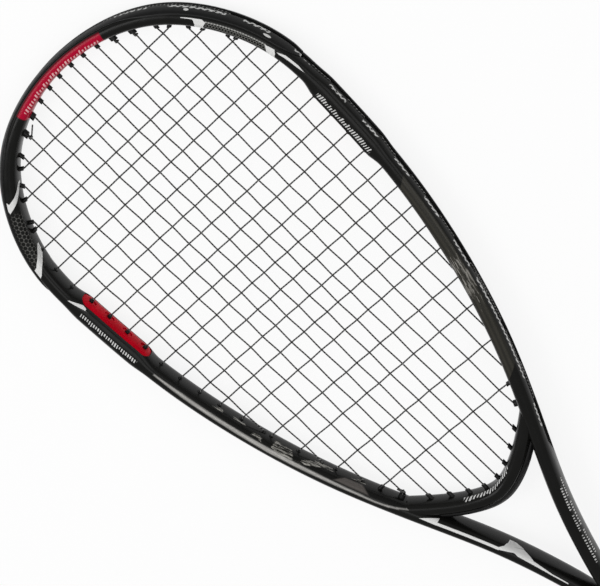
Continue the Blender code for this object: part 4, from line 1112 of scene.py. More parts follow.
class Finish:
    """A material being put together round one Principled shader."""

    def __init__(self, name, colour, roughness, metallic=0.0, specular=0.5):
        self.material = bpy.data.materials.new(name)
        self.material.use_nodes = True
        self.colour = (*colour, 1.0)
        self.material.diffuse_color = self.colour
        self.tree = self.material.node_tree
        self.shader = self.tree.nodes["Principled BSDF"]
        self.set("Base Color", self.colour)
        self.set("Roughness", roughness)
        self.set("Metallic", metallic)
        self.set("Specular IOR Level", specular)

    def set(self, name, value):
        feed(self.shader.inputs[name], value)

    def attribute(self, name):
        node = self.tree.nodes.new("ShaderNodeAttribute")
        node.attribute_name = name
        return Field(self.tree, node.outputs["Vector"])

    def paint(self, mask, colour):
        """Lays a colour over what is there by a mask."""
        node = self.tree.nodes.new("ShaderNodeMix")
        node.data_type = "RGBA"
        for socket, value in zip(MIX_INPUTS, (mask, self.colour, (*colour, 1.0))):
            feed(node.inputs[socket], value)
        self.colour = Field(self.tree, node.outputs[MIX_RESULT])
        self.set("Base Color", self.colour)

    def bump(self, height, distance):
        node = self.tree.nodes.new("ShaderNodeBump")
        for name, value in (("Distance", distance), ("Strength", 1.0), ("Height", height)):
            feed(node.inputs[name], value)
        self.set("Normal", Field(self.tree, node.outputs["Normal"]))

    def grain(self, size, distance, low, high, stretch=1.0, darker=0.75, lighter=1.35):
        """Fine bump, uneven gloss and, where nothing is painted, a slightly uneven tone."""
        place = Field(self.tree, self.tree.nodes.new("ShaderNodeTexCoord").outputs["Object"])
        values = {"Vector": place, "Size": size, "Stretch": stretch}
        height, tone = use_group(self.tree, grain_group(), **values)
        uneven = tone.step(0.3, 0.7)
        self.set("Roughness", uneven * (high - low) + low)
        if not isinstance(self.colour, Field):
            base = np.array(self.colour[:3])
            self.colour = (*(base * darker), 1.0)
            self.paint(uneven, base * lighter)
        self.bump(height, distance)


# Painted shapes by their corners (length from the tip, arc from the crest) in millimetres; the
# minus side is the left one in the photograph
SILVER_SHAPES = [
    [(-95.6, -1.2), (-93.8, -2.2), (-90.0, -0.9), (-92.5, 1.7)],
    [(-93.8, -2.2), (-89.0, -2.1), (-90.2, -0.3)],
    [(-92.6, 1.6), (-90.2, -0.7), (-86.8, 2.6), (-88.9, 4.6)],
    [(-88.9, 4.5), (-86.9, 2.5), (-82.4, 5.8), (-84.5, 7.4)],
    [(-84.5, 7.3), (-82.5, 5.7), (-78.4, 8.0), (-80.7, 9.5)],
    [(-80.7, 9.4), (-78.5, 7.9), (-77.8, 12.0), (-79.8, 12.0)],
    [(-136.4, -2.1), (-130.8, -2.3), (-129.9, -0.1), (-135.1, -0.1)],
    [(-135.1, -0.2), (-129.9, -0.2), (-124.9, 3.7), (-131.4, 2.7)],
    [(-131.4, 2.6), (-124.9, 3.6), (-121.2, 6.5), (-127.6, 6.2)],
    [(-127.6, 6.1), (-121.2, 6.4), (-118.7, 9.3), (-125.0, 9.3)],
    [(-125.0, 9.2), (-118.7, 9.2), (-118.7, 13.0), (-124.8, 13.0)],
    [(-166.8, 3.8), (-160.0, 2.0), (-155.6, 1.1), (-156.2, 1.9)],
    [(-166.8, 3.8), (-156.2, 1.8), (-163.8, 5.4), (-166.5, 5.0)],
    [(85.3, -1.4), (90.8, -1.5), (93.0, -0.1), (86.3, -0.1)],
    [(86.3, -0.2), (93.0, -0.2), (91.9, 2.7), (87.2, 2.1)],
    [(87.2, 2.0), (91.9, 2.6), (93.4, 7.0), (86.6, 7.0)],
    [(126.7, -0.3), (132.4, -0.8), (133.9, 1.1), (128.3, 1.6)],
    [(128.3, 1.5), (133.9, 1.0), (135.6, 7.0), (131.2, 7.0)],
    # The next three shapes are the light line running on from the right ridge: a painted highlight,
    # laid in the silver ink
    [(134.2, -0.2), (138.8, -1.6), (138.9, -0.1), (136.0, 0.2)],
    [(138.7, -1.6), (147.5, -1.8), (147.5, -0.5), (138.7, -0.1)],
    [(147.4, -1.8), (152.0, -1.1), (147.4, -0.5)],
    [(-486.0, 1.0), (-474.9, 1.0), (-474.9, 1.8), (-485.6, 1.6)],
    [(-475.1, 1.0), (-464.4, 1.4), (-463.7, 3.3), (-475.0, 1.8)],
    [(-464.6, 1.4), (-453.1, 1.9), (-450.4, 3.0), (-463.9, 3.4)],
    [(-463.0, 3.2), (-450.4, 2.8), (-444.9, 5.0), (-454.9, 8.2)],
    [(-455.2, 8.6), (-444.8, 4.8), (-446.1, 13.0), (-447.6, 13.0)],
    [(-450.7, 3.0), (-446.3, 1.9), (-443.7, 4.6), (-444.9, 7.6)],
    [(-446.5, 2.0), (-440.4, 0.7), (-441.3, 2.6), (-443.8, 4.6)],
    [(-393.0, 0.9), (-403.4, 0.5), (-404.1, 5.3), (-396.2, 2.3)],
]
SILVER_LINES = [
    [(-441.5, 1.5, 0.85), (-402.0, 1.45, 0.85)],
    [(79.5, -1.15, 0.2), (86.0, -1.1, 0.35)],
]
# Pale lines along the left crest: a printed pinstripe with a painted highlight of the crest over
# it, brighter and dimmer along its length
PALE_STRIPES_AND_SHEEN = [
    [(-358.0, 0.7, 0.5), (-330.0, 0.9, 0.9), (-300.0, 0.7, 1.25), (-270.0, 0.9, 1.0)],
    [(-270.0, 0.9, 1.0), (-240.0, 1.1, 0.95), (-221.0, 1.1, 0.3)],
    [(-390.8, 6.2, 0.1), (-385.0, 3.4, 0.2), (-379.4, 1.7, 0.3), (-373.8, 0.75, 0.4)],
    [(-374.0, 0.75, 0.4), (-366.0, 0.3, 0.4), (-357.0, 0.6, 0.5)],
]
BRUSHED_SHAPES = [
    [(-331.0, 6.6), (-318.0, 1.6), (-314.0, 2.8), (-326.0, 10.5)],
    [(-314.0, 1.8), (-298.5, 1.8), (-300.0, 9.5), (-311.0, 9.0)],
    [(-293.0, 2.6), (-285.0, 3.4), (-286.0, 6.5), (-292.0, 6.0)],
    [(-281.0, 6.8), (-271.0, 6.4), (-272.0, 9.3), (-280.0, 9.6)],
    [(-266.0, 5.8), (-257.5, 6.4), (-259.5, 9.2), (-265.0, 9.2)],
    [(-338.0, 7.0), (-326.0, 7.4), (-327.0, 10.8), (-337.0, 10.8)],
    [(-358.0, 8.8), (-348.0, 8.8), (-348.0, 11.2), (-358.0, 11.2)],
]
PANEL_SHAPES = [
    [(229.0, -3.6), (300.5, -3.9), (300.5, 3.4), (234.5, 3.2)],
    [(299.5, -3.9), (353.0, -4.0), (362.0, 3.4), (299.5, 3.4)],
]
SHADOW_SHAPES = [
    [(-361.0, 2.6), (-340.0, 2.9), (-345.5, 7.4), (-356.0, 7.4)],
]
DOTS = [(81.8, -6.1, 1.4, 0.9), (125.5, -5.4, 2.3, 0.8)]
TALLY_ROWS = [  # start, end, pitch, low, high, slant
    (-208.0, -166.5, 1.6, -1.3, 1.2, -0.4),
    (165.5, 208.0, 1.6, 0.9, 3.9, 0.4),
    (429.0, 442.0, 1.7, -8.8, -6.5, 0.3),
    (445.0, 461.0, 1.9, -8.8, -6.5, 0.3),
    (464.0, 481.0, 1.7, -8.8, -6.5, 0.3),
    (433.0, 449.0, 1.8, -5.3, -3.3, 0.3),
    (452.0, 463.0, 1.7, -5.3, -3.3, 0.3),
    (466.0, 485.0, 1.9, -5.3, -3.3, 0.3),
]
TIP_MOTIF = (-33.0, 30.0, 2.1, 0.6, 3.2, 0.5)
BRIDGE_TALLY = (-18.5, 20.5, 2.3, 3.0, 6.4, 0.8)
TIP_RED_SHARES = (0.75, 1.0, 2.2)
# Spans along the outer side over the string loops in the channel; the strokes painted there are
# painted highlights of the loops and the strip
LOOP_HIGHLIGHT_SPANS = (  # start, end
    (43.0, 61.0), (72.0, 102.0), (111.5, 126.0), (141.0, 152.0), (166.5, 179.0), (192.5, 205.0),
    (219.0, 232.0), (246.0, 259.5), (275.0, 292.0), (300.0, 365.0), (380.5, 395.0),
)
LOOP_HIGHLIGHT_ROWS = ((3.4, 0.9, 2.2), (4.7, -0.8, 1.7))  # pitch, slant, height
COMB_PATCHES = (  # ink, pitch, (start, end, fade) along and around
    ("left comb", 2.6, (-130.0, -97.0, 3.0), (-1.6, 6.5, 2.0)),
    ("right comb", 1.7, (92.5, 128.0, 0.5), (-0.2, 3.2, 0.5)),
)
BEAD_PITCH = 1.6
INKS = {
    "panel": (0.034, 0.032, 0.026),
    "panel streak": (0.22, 0.21, 0.19),
    "shadow": (0.095, 0.086, 0.080),
    "brushed": (0.36, 0.35, 0.32),
    "left comb": (0.085, 0.084, 0.078),
    "right comb": (0.15, 0.15, 0.14),
    "bead and ridge highlight": (0.40, 0.40, 0.38),
    "pale stripe and sheen": (0.42, 0.41, 0.39),
    "tally": (0.56, 0.56, 0.55),
    "tip motif": (0.68, 0.36, 0.37),
    "bridge tally": (0.60, 0.60, 0.59),
    "dot": (0.60, 0.60, 0.59),
    "string loop highlight": (0.52, 0.52, 0.51),
    "painted_lay_highlight": (0.24, 0.24, 0.23),
    "worn grip": (0.040, 0.040, 0.042),
    "grip hole shade": (0.006, 0.006, 0.006),
}
LACQUER_GRAIN = (0.0005, 0.0000008, 0.20, 0.28)
GRIP_HOLE_PITCH = 0.0036


def paint_outer_dots_and_highlights(finish):
    """Paints the white dots, and painted highlights of the string loops and strip in the channel,
    on the outer side; both run over hoop and bumper.
    """
    along, around, _ = parts_of(finish.attribute("surface"))
    for x, y, long, wide in DOTS:
        far = ((along - x) / long) * ((along - x) / long)
        far = far + ((around - y) / wide) * ((around - y) / wide)
        finish.paint(1 - far.step(0.7, 1.1), INKS["dot"])
    inside = folded("ADD", [along.within(start, end, 0.4) for start, end in LOOP_HIGHLIGHT_SPANS])
    low = along.step(150.0, 168.0) * 1.5 - 9.6
    # Rows of strokes over those spans: painted highlights of the string loops and the strip
    for pitch, slant, height in LOOP_HIGHLIGHT_ROWS:
        values = {"Pitch": pitch, "Low": low, "High": low + height, "Slant": slant}
        marks = pattern(tally_group(), along, around, **values)
        finish.paint(marks * inside, INKS["string loop highlight"])


def tally_row(along, around, start, end, pitch, low, high, slant):
    """A row of slanted strokes between two lengths."""
    bars = pattern(tally_group(), along, around, Pitch=pitch, Low=low, High=high, Slant=slant)
    return bars * along.within(start, end, 0.3)


def print_hoop(finish, settings):
    """Paints the hoop's accents, with painted highlights along the crest and the right ridge."""
    along, around, _ = parts_of(finish.attribute("surface"))
    spot = vector_of(along, around, 1.0)
    ribs = (around * 2.2 + (along * 0.05).math("SINE")).math("SINE") * 0.25 + 0.75

    panel = patches(spot, PANEL_SHAPES, 0.3)
    finish.paint(panel * ribs, INKS["panel"])
    busy = 1 - ((along - 295.0) / 34.0).math("ABSOLUTE").step(0.0, 1.0)
    brush = pattern(brush_group(), along, around, Amount=busy)
    finish.paint(panel * brush * busy.step(0.05, 0.6), INKS["panel streak"])
    finish.paint(patches(spot, SHADOW_SHAPES, 0.8), INKS["shadow"])
    brushed = patches(spot, BRUSHED_SHAPES, 1.0)
    brush = pattern(brush_group(), along, around, Amount=brushed, Seed=4.0)
    finish.paint(brush * brushed.step(0.1, 0.5), INKS["brushed"])
    for ink, pitch, ends, heights in COMB_PATCHES:
        comb = pattern(honeycomb_group(), along, around, Pitch=pitch)
        finish.paint(along.within(*ends) * around.within(*heights) * comb, INKS[ink])
    # A beaded light line beside the crest on the right: printed beads together with a painted
    # highlight of the ridge
    beads_and_highlight = (along * (2 * math.pi / BEAD_PITCH)).math("SINE") * 0.3 + 0.6
    beads_and_highlight = beads_and_highlight * around.within(-0.8, -0.1, 0.2)
    finish.paint(beads_and_highlight * along.within(92.5, 127.5, 0.5), INKS["bead and ridge highlight"])

    # Pale pinstripe, partly printed and partly a painted highlight along the crest, broken up by
    # streaks
    shapes = [shape for line in PALE_STRIPES_AND_SHEEN for shape in ribbon(line, 0.8)]
    sheen_streaks = pattern(brush_group(), along, around, Amount=1.0, Seed=9.0)
    finish.paint(patches(spot, shapes, 0.7) * (sheen_streaks * 0.25 + 0.7), INKS["pale stripe and sheen"])
    # Silver accents, among them the right ridge's painted highlight
    shapes = [shape for line in SILVER_LINES for shape in ribbon(line)]
    finish.paint(patches(spot, shapes + SILVER_SHAPES), settings.silver)
    for row in TALLY_ROWS:
        finish.paint(tally_row(along, around, *row), INKS["tally"])
    tip = along.within(-37.0, 33.0, 0.5) * around.step(-3.0, -0.4)
    finish.paint(tip, [value * share for value, share in zip(settings.red, TIP_RED_SHARES)])
    finish.paint(tally_row(along, around, *TIP_MOTIF), INKS["tip motif"])


def lacquer_finish(settings):
    """Gloss black lacquer with the hoop's painted accents, painted highlights along its crest and
    ridge, and painted highlights of the string loops on its outer side.
    """
    finish = Finish("hoop_lacquer", settings.lacquer, 0.24, specular=0.13)
    print_hoop(finish, settings)
    paint_outer_dots_and_highlights(finish)
    finish.grain(*LACQUER_GRAIN)
    return finish.material


def bumper_finish(settings):
    """Satin nylon that carries the hoop's white dots and the painted highlights of the string loops
    round it.
    """
    finish = Finish("bumper_nylon", settings.moulding, 0.34, specular=0.16)
    paint_outer_dots_and_highlights(finish)
    finish.grain(0.0004, 0.000008, 0.30, 0.42)
    return finish.material


def bridge_finish(settings):
    """Gloss black lacquer with a border motif on one half of the bridge."""
    finish = Finish("bridge_lacquer", settings.lacquer, 0.24, specular=0.13)
    along, around, _ = parts_of(finish.attribute("surface"))
    finish.paint(tally_row(along, around, *BRIDGE_TALLY), INKS["bridge tally"])
    finish.grain(*LACQUER_GRAIN)
    return finish.material


def grained_finish(name, colour, specular=0.5, metallic=0.0, **grain):
    """A plain material with a fine grain."""
    finish = Finish(name, colour, grain["low"], metallic, specular)
    finish.grain(**grain)
    return finish.material


def moulded_finish(name, colour, size, distance, low, high):
    """Moulded plastic or rubber with a fine grain."""
    return grained_finish(name, colour, 0.2, size=size, distance=distance, low=low, high=high)


def string_finish(colour):
    """A dark string with short light streaks along its lay, painted into its colour as highlights.
    """
    finish = Finish("string_black", colour, 0.34, specular=0.25)
    run, turn, _ = parts_of(finish.attribute("lay"))
    lay = run / STRING_LAY + turn
    painted_lay_highlight = 1 - (lay.math("FRACT") - 0.5).math("ABSOLUTE").step(0.08, 0.20)
    uneven = noise(vector_of(run * 160.0, 0.0)).step(0.3, 0.7)
    # Painted highlights along the lay, uneven along the string
    finish.paint(painted_lay_highlight * (uneven * 0.6 + 0.4), INKS["painted_lay_highlight"])
    finish.set("Roughness", uneven * 0.18 + 0.26)
    finish.bump((lay * (6 * math.pi)).math("SINE"), 0.00003)
    return finish.material


def grip_finish(colour):
    """A tacky wound grip, embossed and perforated along its own width."""
    finish = Finish("grip_black", colour, 0.7, specular=0.35)
    run, width, _ = parts_of(finish.attribute("band"))
    x, y = run / GRIP_HOLE_PITCH, width / GRIP_HOLE_PITCH + 0.25
    shift = (y.math("FLOOR") * 0.5).math("FRACT")
    cell_x = (x + shift).math("FRACT") - 0.5
    cell_y = y.math("FRACT") - 0.5
    pit = 1 - (cell_x * cell_x + cell_y * cell_y).math("SQRT").step(0.12, 0.20)
    grain = noise(vector_of(run * 2600.0, width * 2600.0), 3.0)
    wear = noise(vector_of(run * 60.0, width * 60.0), 3.0)
    finish.paint(wear.step(0.45, 0.75), INKS["worn grip"])
    # The perforations are darkened in colour: painted shade inside the holes
    finish.paint(pit, INKS["grip hole shade"])
    finish.set("Roughness", wear.step(0.3, 0.7) * 0.2 + 0.58)
    finish.bump(grain * 0.25 - pit, 0.0004)
    return finish.material


# Geometry Nodes


def strand_tree():
    """Rounds a chain of edges into a closed strand and writes its lay coordinates."""
    name = "strand_round_a_path"
    if name in bpy.data.node_groups:
        return bpy.data.node_groups[name]
    tree = bpy.data.node_groups.new(name, "GeometryNodeTree")
    for title, kind in STRAND_INPUTS.items():
        tree.interface.new_socket(title, in_out="INPUT", socket_type="NodeSocket" + kind)
    tree.interface.new_socket("Geometry", in_out="OUTPUT", socket_type="NodeSocketGeometry")

    def add(kind, inputs=(), **settings):
        """A new node's outputs; its inputs are other nodes' outputs or constants."""
        node = tree.nodes.new(kind)
        for key, value in settings.items():
            setattr(node, key, value)
        for title, value in dict(inputs).items():
            if isinstance(value, bpy.types.NodeSocket):
                tree.links.new(value, node.inputs[title])
            else:
                node.inputs[title].default_value = value
        return node.outputs

    def store(geometry, title, value, kind="FLOAT"):
        inputs = {"Geometry": geometry, "Name": title, "Value": value}
        stored = add("GeometryNodeStoreNamedAttribute", inputs, data_type=kind, domain="POINT")
        return stored["Geometry"]

    def read(title):
        return add("GeometryNodeInputNamedAttribute", {"Name": title}, data_type="FLOAT")[0]

    start = add("NodeGroupInput")
    chain = add("GeometryNodeMeshToCurve", {"Mesh": start["Geometry"]})[0]
    chain = store(chain, "run", add("GeometryNodeSplineParameter")["Length"])
    sizes = {"Resolution": start["Sides"], "Radius": start["Radius"]}
    ring = add("GeometryNodeCurvePrimitiveCircle", sizes, mode="RADIUS")[0]
    ring = store(ring, "turn", add("GeometryNodeSplineParameter")["Factor"])
    curves = {"Curve": chain, "Profile Curve": ring, "Fill Caps": True}
    tube = add("GeometryNodeCurveToMesh", curves)[0]
    lay = add("ShaderNodeCombineXYZ", {"X": read("run"), "Y": read("turn")})[0]
    tube = store(tube, "lay", lay, "FLOAT_VECTOR")
    tube = add("GeometryNodeRealizeInstances", {"Geometry": tube})[0]
    tube = add("GeometryNodeSetMaterial", {"Geometry": tube, "Material": start["Finish"]})[0]
    add("NodeGroupOutput", {"Geometry": tube})
    return tree


def strand(name, points, radius, sides, finish):
    """A mesh strand through points, made by the strand tree."""
    edges = [(index, index + 1) for index in range(len(points) - 1)]
    chain = bpy.data.meshes.new(name)
    chain.from_pydata([tuple(point) for point in points], edges, [])
    made = linked(name, chain)
    modifier = made.modifiers.new("strand", "NODES")
    modifier.node_group = strand_tree()
    values = {"Radius": radius, "Sides": sides, "Finish": finish}
    for item in modifier.node_group.interface.items_tree:
        if item.in_out == "INPUT" and item.name in values:
            modifier[item.identifier] = values[item.name]
    mesh = evaluated(made)
    bpy.data.objects.remove(made)
    return facing_out(mesh)


# Strings


def main_holes(turn):
    """Top and foot holes of a main, counted from the left."""
    left = turn < MAINS_EACH_SIDE
    index = MAINS_EACH_SIDE - 1 - turn if left else turn - MAINS_EACH_SIDE
    side = LEFT if left else RIGHT
    return side[("top", index)], side[("foot", index)]


def crossing(turn, cross, offset):
    """Where a main meets a cross, on the main's side of the weave; None outside the head."""
    top, foot = (hole.inside(MOUTH_CLEARANCE) for hole in main_holes(turn))
    edge = RIGHT[("cross", cross)].inside(MOUTH_CLEARANCE)
    share = (edge[1] - foot[1]) / (top[1] - foot[1])
    x = foot[0] + share * (top[0] - foot[0])
    if not foot[1] + CROSSING_MARGIN < edge[1] < top[1] - CROSSING_MARGIN:
        return None
    if abs(x) > edge[0] - CROSSING_MARGIN:
        return None
    return np.array([x, edge[1], offset * (-1) ** (turn + cross)])


def woven(met, before, after):
    """A string's line through its crossings, swinging smoothly from one side to the other."""
    points = []
    stops = [before, *met, after]
    for first, second in zip(stops, stops[1:]):
        for share in np.linspace(0, 1, WEAVE_STEPS, endpoint=False):
            spot = first + share * (second - first)
            ease = (1 - math.cos(math.pi * share)) / 2
            spot[2] = first[2] + (second[2] - first[2]) * ease
            points.append(spot)
    return points[1:]


def through(hole, up=0.0):
    """A string's way out through a hole: the mouth and the point where it turns."""
    return [hole.inside(MOUTH_CLEARANCE, up), hole.out_to(STRING_LANE, up)[0]]


def laced(first, last, met):
    """A string's way in by one hole, over and under its crossings, and out by the other."""
    return first[::-1] + woven(met, first[0], last[0]) + last


def along_channel(first, second, up, height=STRING_LANE):
    """Points in the string channel between two holes."""
    wall, start, end = first.wall, first.exit_run, second.exit_run
    ahead = 1 if end > start else -1
    start, end = start + ahead * LANE_CHANGE, end - ahead * LANE_CHANGE
    if (end - start) * ahead < LANE_CHANGE:
        return [wall.channel((start + end) / 2, height, up)]
    runs = np.linspace(start, end, max(2, round(abs(end - start) / CHANNEL_STEP) + 1))
    return [wall.channel(run, height, up) for run in runs]


def knot(anchor, first_crossing, tucked):
    """A tail that comes in through an anchor main's hole and is wound round that main.

    Its end stands out beside the main, or is tucked behind it.
    """
    axis_start = anchor.inside(MOUTH_CLEARANCE, -TIE_SHIFT)
    into = anchor.inside(MOUTH_CLEARANCE, TIE_SHIFT)
    along = first_crossing - axis_start
    along /= np.linalg.norm(along)
    towards = (into - axis_start) - along * ((into - axis_start) @ along)
    towards /= np.linalg.norm(towards)
    sideways = np.cross(along, towards)
    normal = anchor.wall.path.outward(anchor.run)
    square = abs(along[:2] @ normal)
    flat = np.array([-normal[1], normal[0], 0.0]) / square
    flat *= math.copysign(1.0, flat @ sideways)
    points = []
    turns = KNOT_TURNS - 0.75 if tucked else KNOT_TURNS
    for step in range(round(KNOT_STEPS * turns) + 1):
        turn = step / KNOT_STEPS
        ring = towards * math.cos(2 * math.pi * turn) + flat * math.sin(2 * math.pi * turn)
        reach = KNOT_CLEARANCE / square + KNOT_PITCH * turn
        points.append(axis_start + along * reach + ring * KNOT_RADIUS)
    if tucked:
        end = TUCKED_TAIL * (0.50 * along - 0.87 * towards)
    else:
        end = KNOT_TAIL * (0.12 * towards - 0.58 * along - 0.80 * sideways)
    return points + [points[-1] + end]


def tail(hole, anchor, up, height, first_crossing):
    """From the last hole along the channel to the anchor's hole, through it and round its main."""
    points = along_channel(hole, anchor, up, height)
    points.append(anchor.out_to(STRING_LANE, TIE_SHIFT)[0])
    points.append(anchor.inside(MOUTH_CLEARANCE, TIE_SHIFT))
    return points + knot(anchor, first_crossing, anchor is not LEFT[MAIN_TIE_LEFT])


def own_shift(hole):
    """A main keeps to the lower side of a hole that it shares with a tail."""
    return -TIE_SHIFT if hole.tied else 0.0


def crossings_on(turn, offset):
    """A main's crossings from its top to its foot."""
    met = [crossing(turn, cross, offset) for cross in range(len(CROSSES))]
    return [point for point in met if point is not None]


def tie_at(tie, side, offset):
    """The hole that a string is tied off at, and the crossing nearest it on the same main."""
    end, index = tie
    turn = MAINS_EACH_SIDE + index if side is RIGHT else MAINS_EACH_SIDE - 1 - index
    return side[tie], crossings_on(turn, offset)[0 if end == "top" else -1]


def eased(points, reach=0.0011, count=4):
    """A chain whose sharp corners are rounded."""
    points = [np.asarray(point, float) for point in points]
    done = [points[0]]
    for before, here, after in zip(points, points[1:], points[2:]):
        first, second = here - before, after - here
        lengths = np.linalg.norm(first), np.linalg.norm(second)
        if min(lengths) < 1e-7:
            continue
        bend = (first @ second) / (lengths[0] * lengths[1])
        if bend > STRAIGHT_ENOUGH:
            done.append(here)
        else:
            done.extend(rounded_corner(before, here, after, reach, count))
    return done + [points[-1]]


def main_route(offset):
    """The one string up and down through all the mains."""
    count = 2 * MAINS_EACH_SIDE
    anchor, near = tie_at(MAIN_TIE_LEFT, LEFT, offset)
    points = tail(main_holes(0)[0], anchor, 0.0, TAIL_LANE, near)[::-1]
    for turn in range(count):
        holes, met = main_holes(turn), crossings_on(turn, offset)
        top, foot = (through(hole, own_shift(hole)) for hole in holes)
        if turn % 2 == 0:
            points += laced(top, foot, met)
        else:
            points += laced(foot, top, met[::-1])
        if turn + 1 < count:
            end = 1 - turn % 2
            points += along_channel(holes[end], main_holes(turn + 1)[end], -LOOP_SHIFT)
    anchor, near = tie_at(MAIN_TIE_RIGHT, RIGHT, offset)
    return points + tail(main_holes(count - 1)[0], anchor, 0.0, TAIL_LANE, near)


def cross_route(offset):
    """The one string to and fro through all the crosses."""
    flip = np.array([1.0, 1.0, -1.0])
    anchor, near = tie_at(CROSS_TIE_HEAD, RIGHT, offset)
    points = tail(RIGHT[("cross", 0)], anchor, LOOP_SHIFT, STRING_LANE, near)[::-1]
    for cross in range(len(CROSSES)):
        met = [crossing(turn, cross, offset) for turn in range(2 * MAINS_EACH_SIDE)]
        met = [point * flip for point in met if point is not None]
        left, right = (through(side[("cross", cross)]) for side in (LEFT, RIGHT))
        if cross % 2 == 0:
            points += laced(right, left, met[::-1])
            side = LEFT
        else:
            points += laced(left, right, met)
            side = RIGHT
        if cross + 1 < len(CROSSES):
            points += along_channel(side[("cross", cross)], side[("cross", cross + 1)], LOOP_SHIFT)
    anchor, near = tie_at(CROSS_TIE_THROAT, side, offset)
    last = side[("cross", len(CROSSES) - 1)]
    return points + tail(last, anchor, LOOP_SHIFT, STRING_LANE, near)


# Grommet strips


def both_ways(top):
    """A closed section from its points above the string bed."""
    top = np.asarray(top)
    return np.concatenate([top, top[::-1] * (1, -1)])


def rounded_corner(before, here, after, reach, count):
    """Points of a smooth curve that cuts a corner off."""
    first, second = here - before, after - here
    start = here - first * min(0.45, reach / np.linalg.norm(first))
    end = here + second * min(0.45, reach / np.linalg.norm(second))
    shares = np.linspace(0, 1, count)[:, None]
    return (1 - shares) ** 2 * start + 2 * shares * (1 - shares) * here + shares**2 * end


def rounded_section(points, reach, steps=4):
    """A closed section with each corner rounded."""
    points = np.asarray(points, float)
    corners = zip(np.roll(points, 1, axis=0), points, np.roll(points, -1, axis=0))
    return np.concatenate([rounded_corner(*corner, reach, steps) for corner in corners])


def strip_section(wall, run):
    """A flat strip in the string groove."""
    low = float(wall.floor(run)) + FIT_GAP / 3
    high = low + STRIP_THICKNESS
    half = GROOVE_HALF_WIDTH - FIT_GAP
    return rounded_section(both_ways([(high, half), (low, half)]), STRIP_ROUNDING)


def guard_section(wall, run, height, thickness):
    """A strip in the groove with webs beside the strings and a skin this high over the wall."""
    outer, _, depth = (float(size) for size in wall.sizes_at(run))
    low = float(wall.floor(run)) + FIT_GAP / 3
    web = GROOVE_HALF_WIDTH - FIT_GAP
    ups = np.linspace(CHANNEL_HALF_WIDTH + 0.0001, height, 9)
    skin = FIT_GAP + thickness * (1 - 0.65 * (ups - ups[0]) / (height - ups[0]))
    over = np.column_stack([oval_width(outer + skin, depth + skin, ups), ups])
    ups = np.linspace(height + 0.00005, web, 6)
    under = np.column_stack([oval_width(outer + FIT_GAP / 3, depth + FIT_GAP / 3, ups), ups])
    ends = [(low + STRIP_THICKNESS, CHANNEL_HALF_WIDTH)], [(low, web)]
    top = np.concatenate([ends[0], over, under, ends[1]])
    return rounded_section(both_ways(top), GUARD_ROUNDING, 3)


def bumper_section(wall, run):
    """The bumper's skin reaches nearly to the crest and ends in a rounded lobe on each side."""
    away, end = abs(run - TIP_RUN), strip_spans()[0]
    full = BUMPER_SIDE_HEIGHT - BUMPER_TIP_HEIGHT
    full = BUMPER_TIP_HEIGHT + full * float(smoothstep(away, *BUMPER_GROWS)) - BUMPER_END_HEIGHT
    late = min(1.0, max(0.0, away - end + BUMPER_LOBE) / BUMPER_LOBE)
    height = BUMPER_END_HEIGHT + full * math.sqrt(1 - late**2)
    thin = float(smoothstep(away, end - BUMPER_THIN_END, end))
    return guard_section(wall, run, height, BUMPER_THICKNESS * (1 - 0.7 * thin))


def bridge_strip_section(wall, run):
    """The bridge's strip stands proud of it and tapers to its ends."""
    away, end = abs(run - BRIDGE.length / 2), bridge_groove_reach()
    taper = math.sqrt(max(0.0, 1 - (away / end) ** 6))
    height = BUMPER_END_HEIGHT + (BRIDGE_STRIP_HEIGHT - BUMPER_END_HEIGHT) * taper
    return guard_section(wall, run, height, BRIDGE_STRIP_THICKNESS * (0.7 + 0.3 * taper))


def strip_mesh(wall, start, end, section_at):
    """A strip with a barrel at each hole, bored for the strings."""
    count = round((end - start) / STRIP_STEP)
    runs = np.linspace(start + STRIP_END, end - STRIP_END, count)
    ease = STRIP_END * (1 - np.cos(np.linspace(0, math.pi / 2, 10)))[:-1]
    runs = np.concatenate([start + ease, runs, end - ease[::-1]])
    body = sweep("strip", [placed(wall.path, run, section_at(wall, run)) for run in runs])
    holes = [hole for hole in holes_on(wall) if start < hole.exit_run < end]
    middle = FIT_GAP + STRIP_THICKNESS / 2
    barrels = hole_rods("barrels", holes, BARREL_RADIUS, TIE_BARREL_RADIUS, 0.0, middle, 18)
    bores = hole_rods("bores", holes, BORE_RADIUS, TIE_BORE_RADIUS, BARREL_REACH, STRING_LANE, 12)
    return combined(body, ("UNION", barrels), ("DIFFERENCE", bores))


def strip_spans():
    """Start and end of the bumper and of the right side strip, from the tip."""
    pair = [RIGHT[("cross", BUMPER_LAST_CROSS + turn)].exit_run for turn in (0, 1)]
    split = sum(pair) / 2 - TIP_RUN
    last = max(hole.exit_run for hole in RIGHT.values() if hole.wall is HOOP_WALL)
    bumper = split - SIDE_STRIP_GAP / 2
    return bumper, (split + SIDE_STRIP_GAP / 2, last + STRIP_PAST_HOLE - TIP_RUN)


# Handle


def handle_outline(y, grow):
    """The pallets' eight corners (x, z) at a height, moved outward evenly by grow."""
    out = grow + BUTT_FLARE * max(0.0, 1 - y / BUTT_FLARE_END_Y)
    corner = HANDLE_CORNER + out * (2 - math.sqrt(2))
    return octagon(HANDLE_HALF_WIDTH + out, HANDLE_HALF_DEPTH + out, corner)


def octagon(half_width, half_depth, corner):
    right = [(half_width, half_depth - corner), (half_width - corner, half_depth)]
    top = right + [(-x, z) for x, z in reversed(right)]
    return np.array(top + [(x, -z) for x, z in reversed(top)])


def rounded_outline(corners, reach):
    """The octagon with rounded edges, as points evenly spaced round it."""
    rounded = rounded_section(corners, reach, 7)
    closed = np.vstack([rounded, rounded[:1]])
    run = run_along(closed)
    return read_at(np.linspace(0, run[-1], OUTLINE_POINTS, endpoint=False), run, closed)


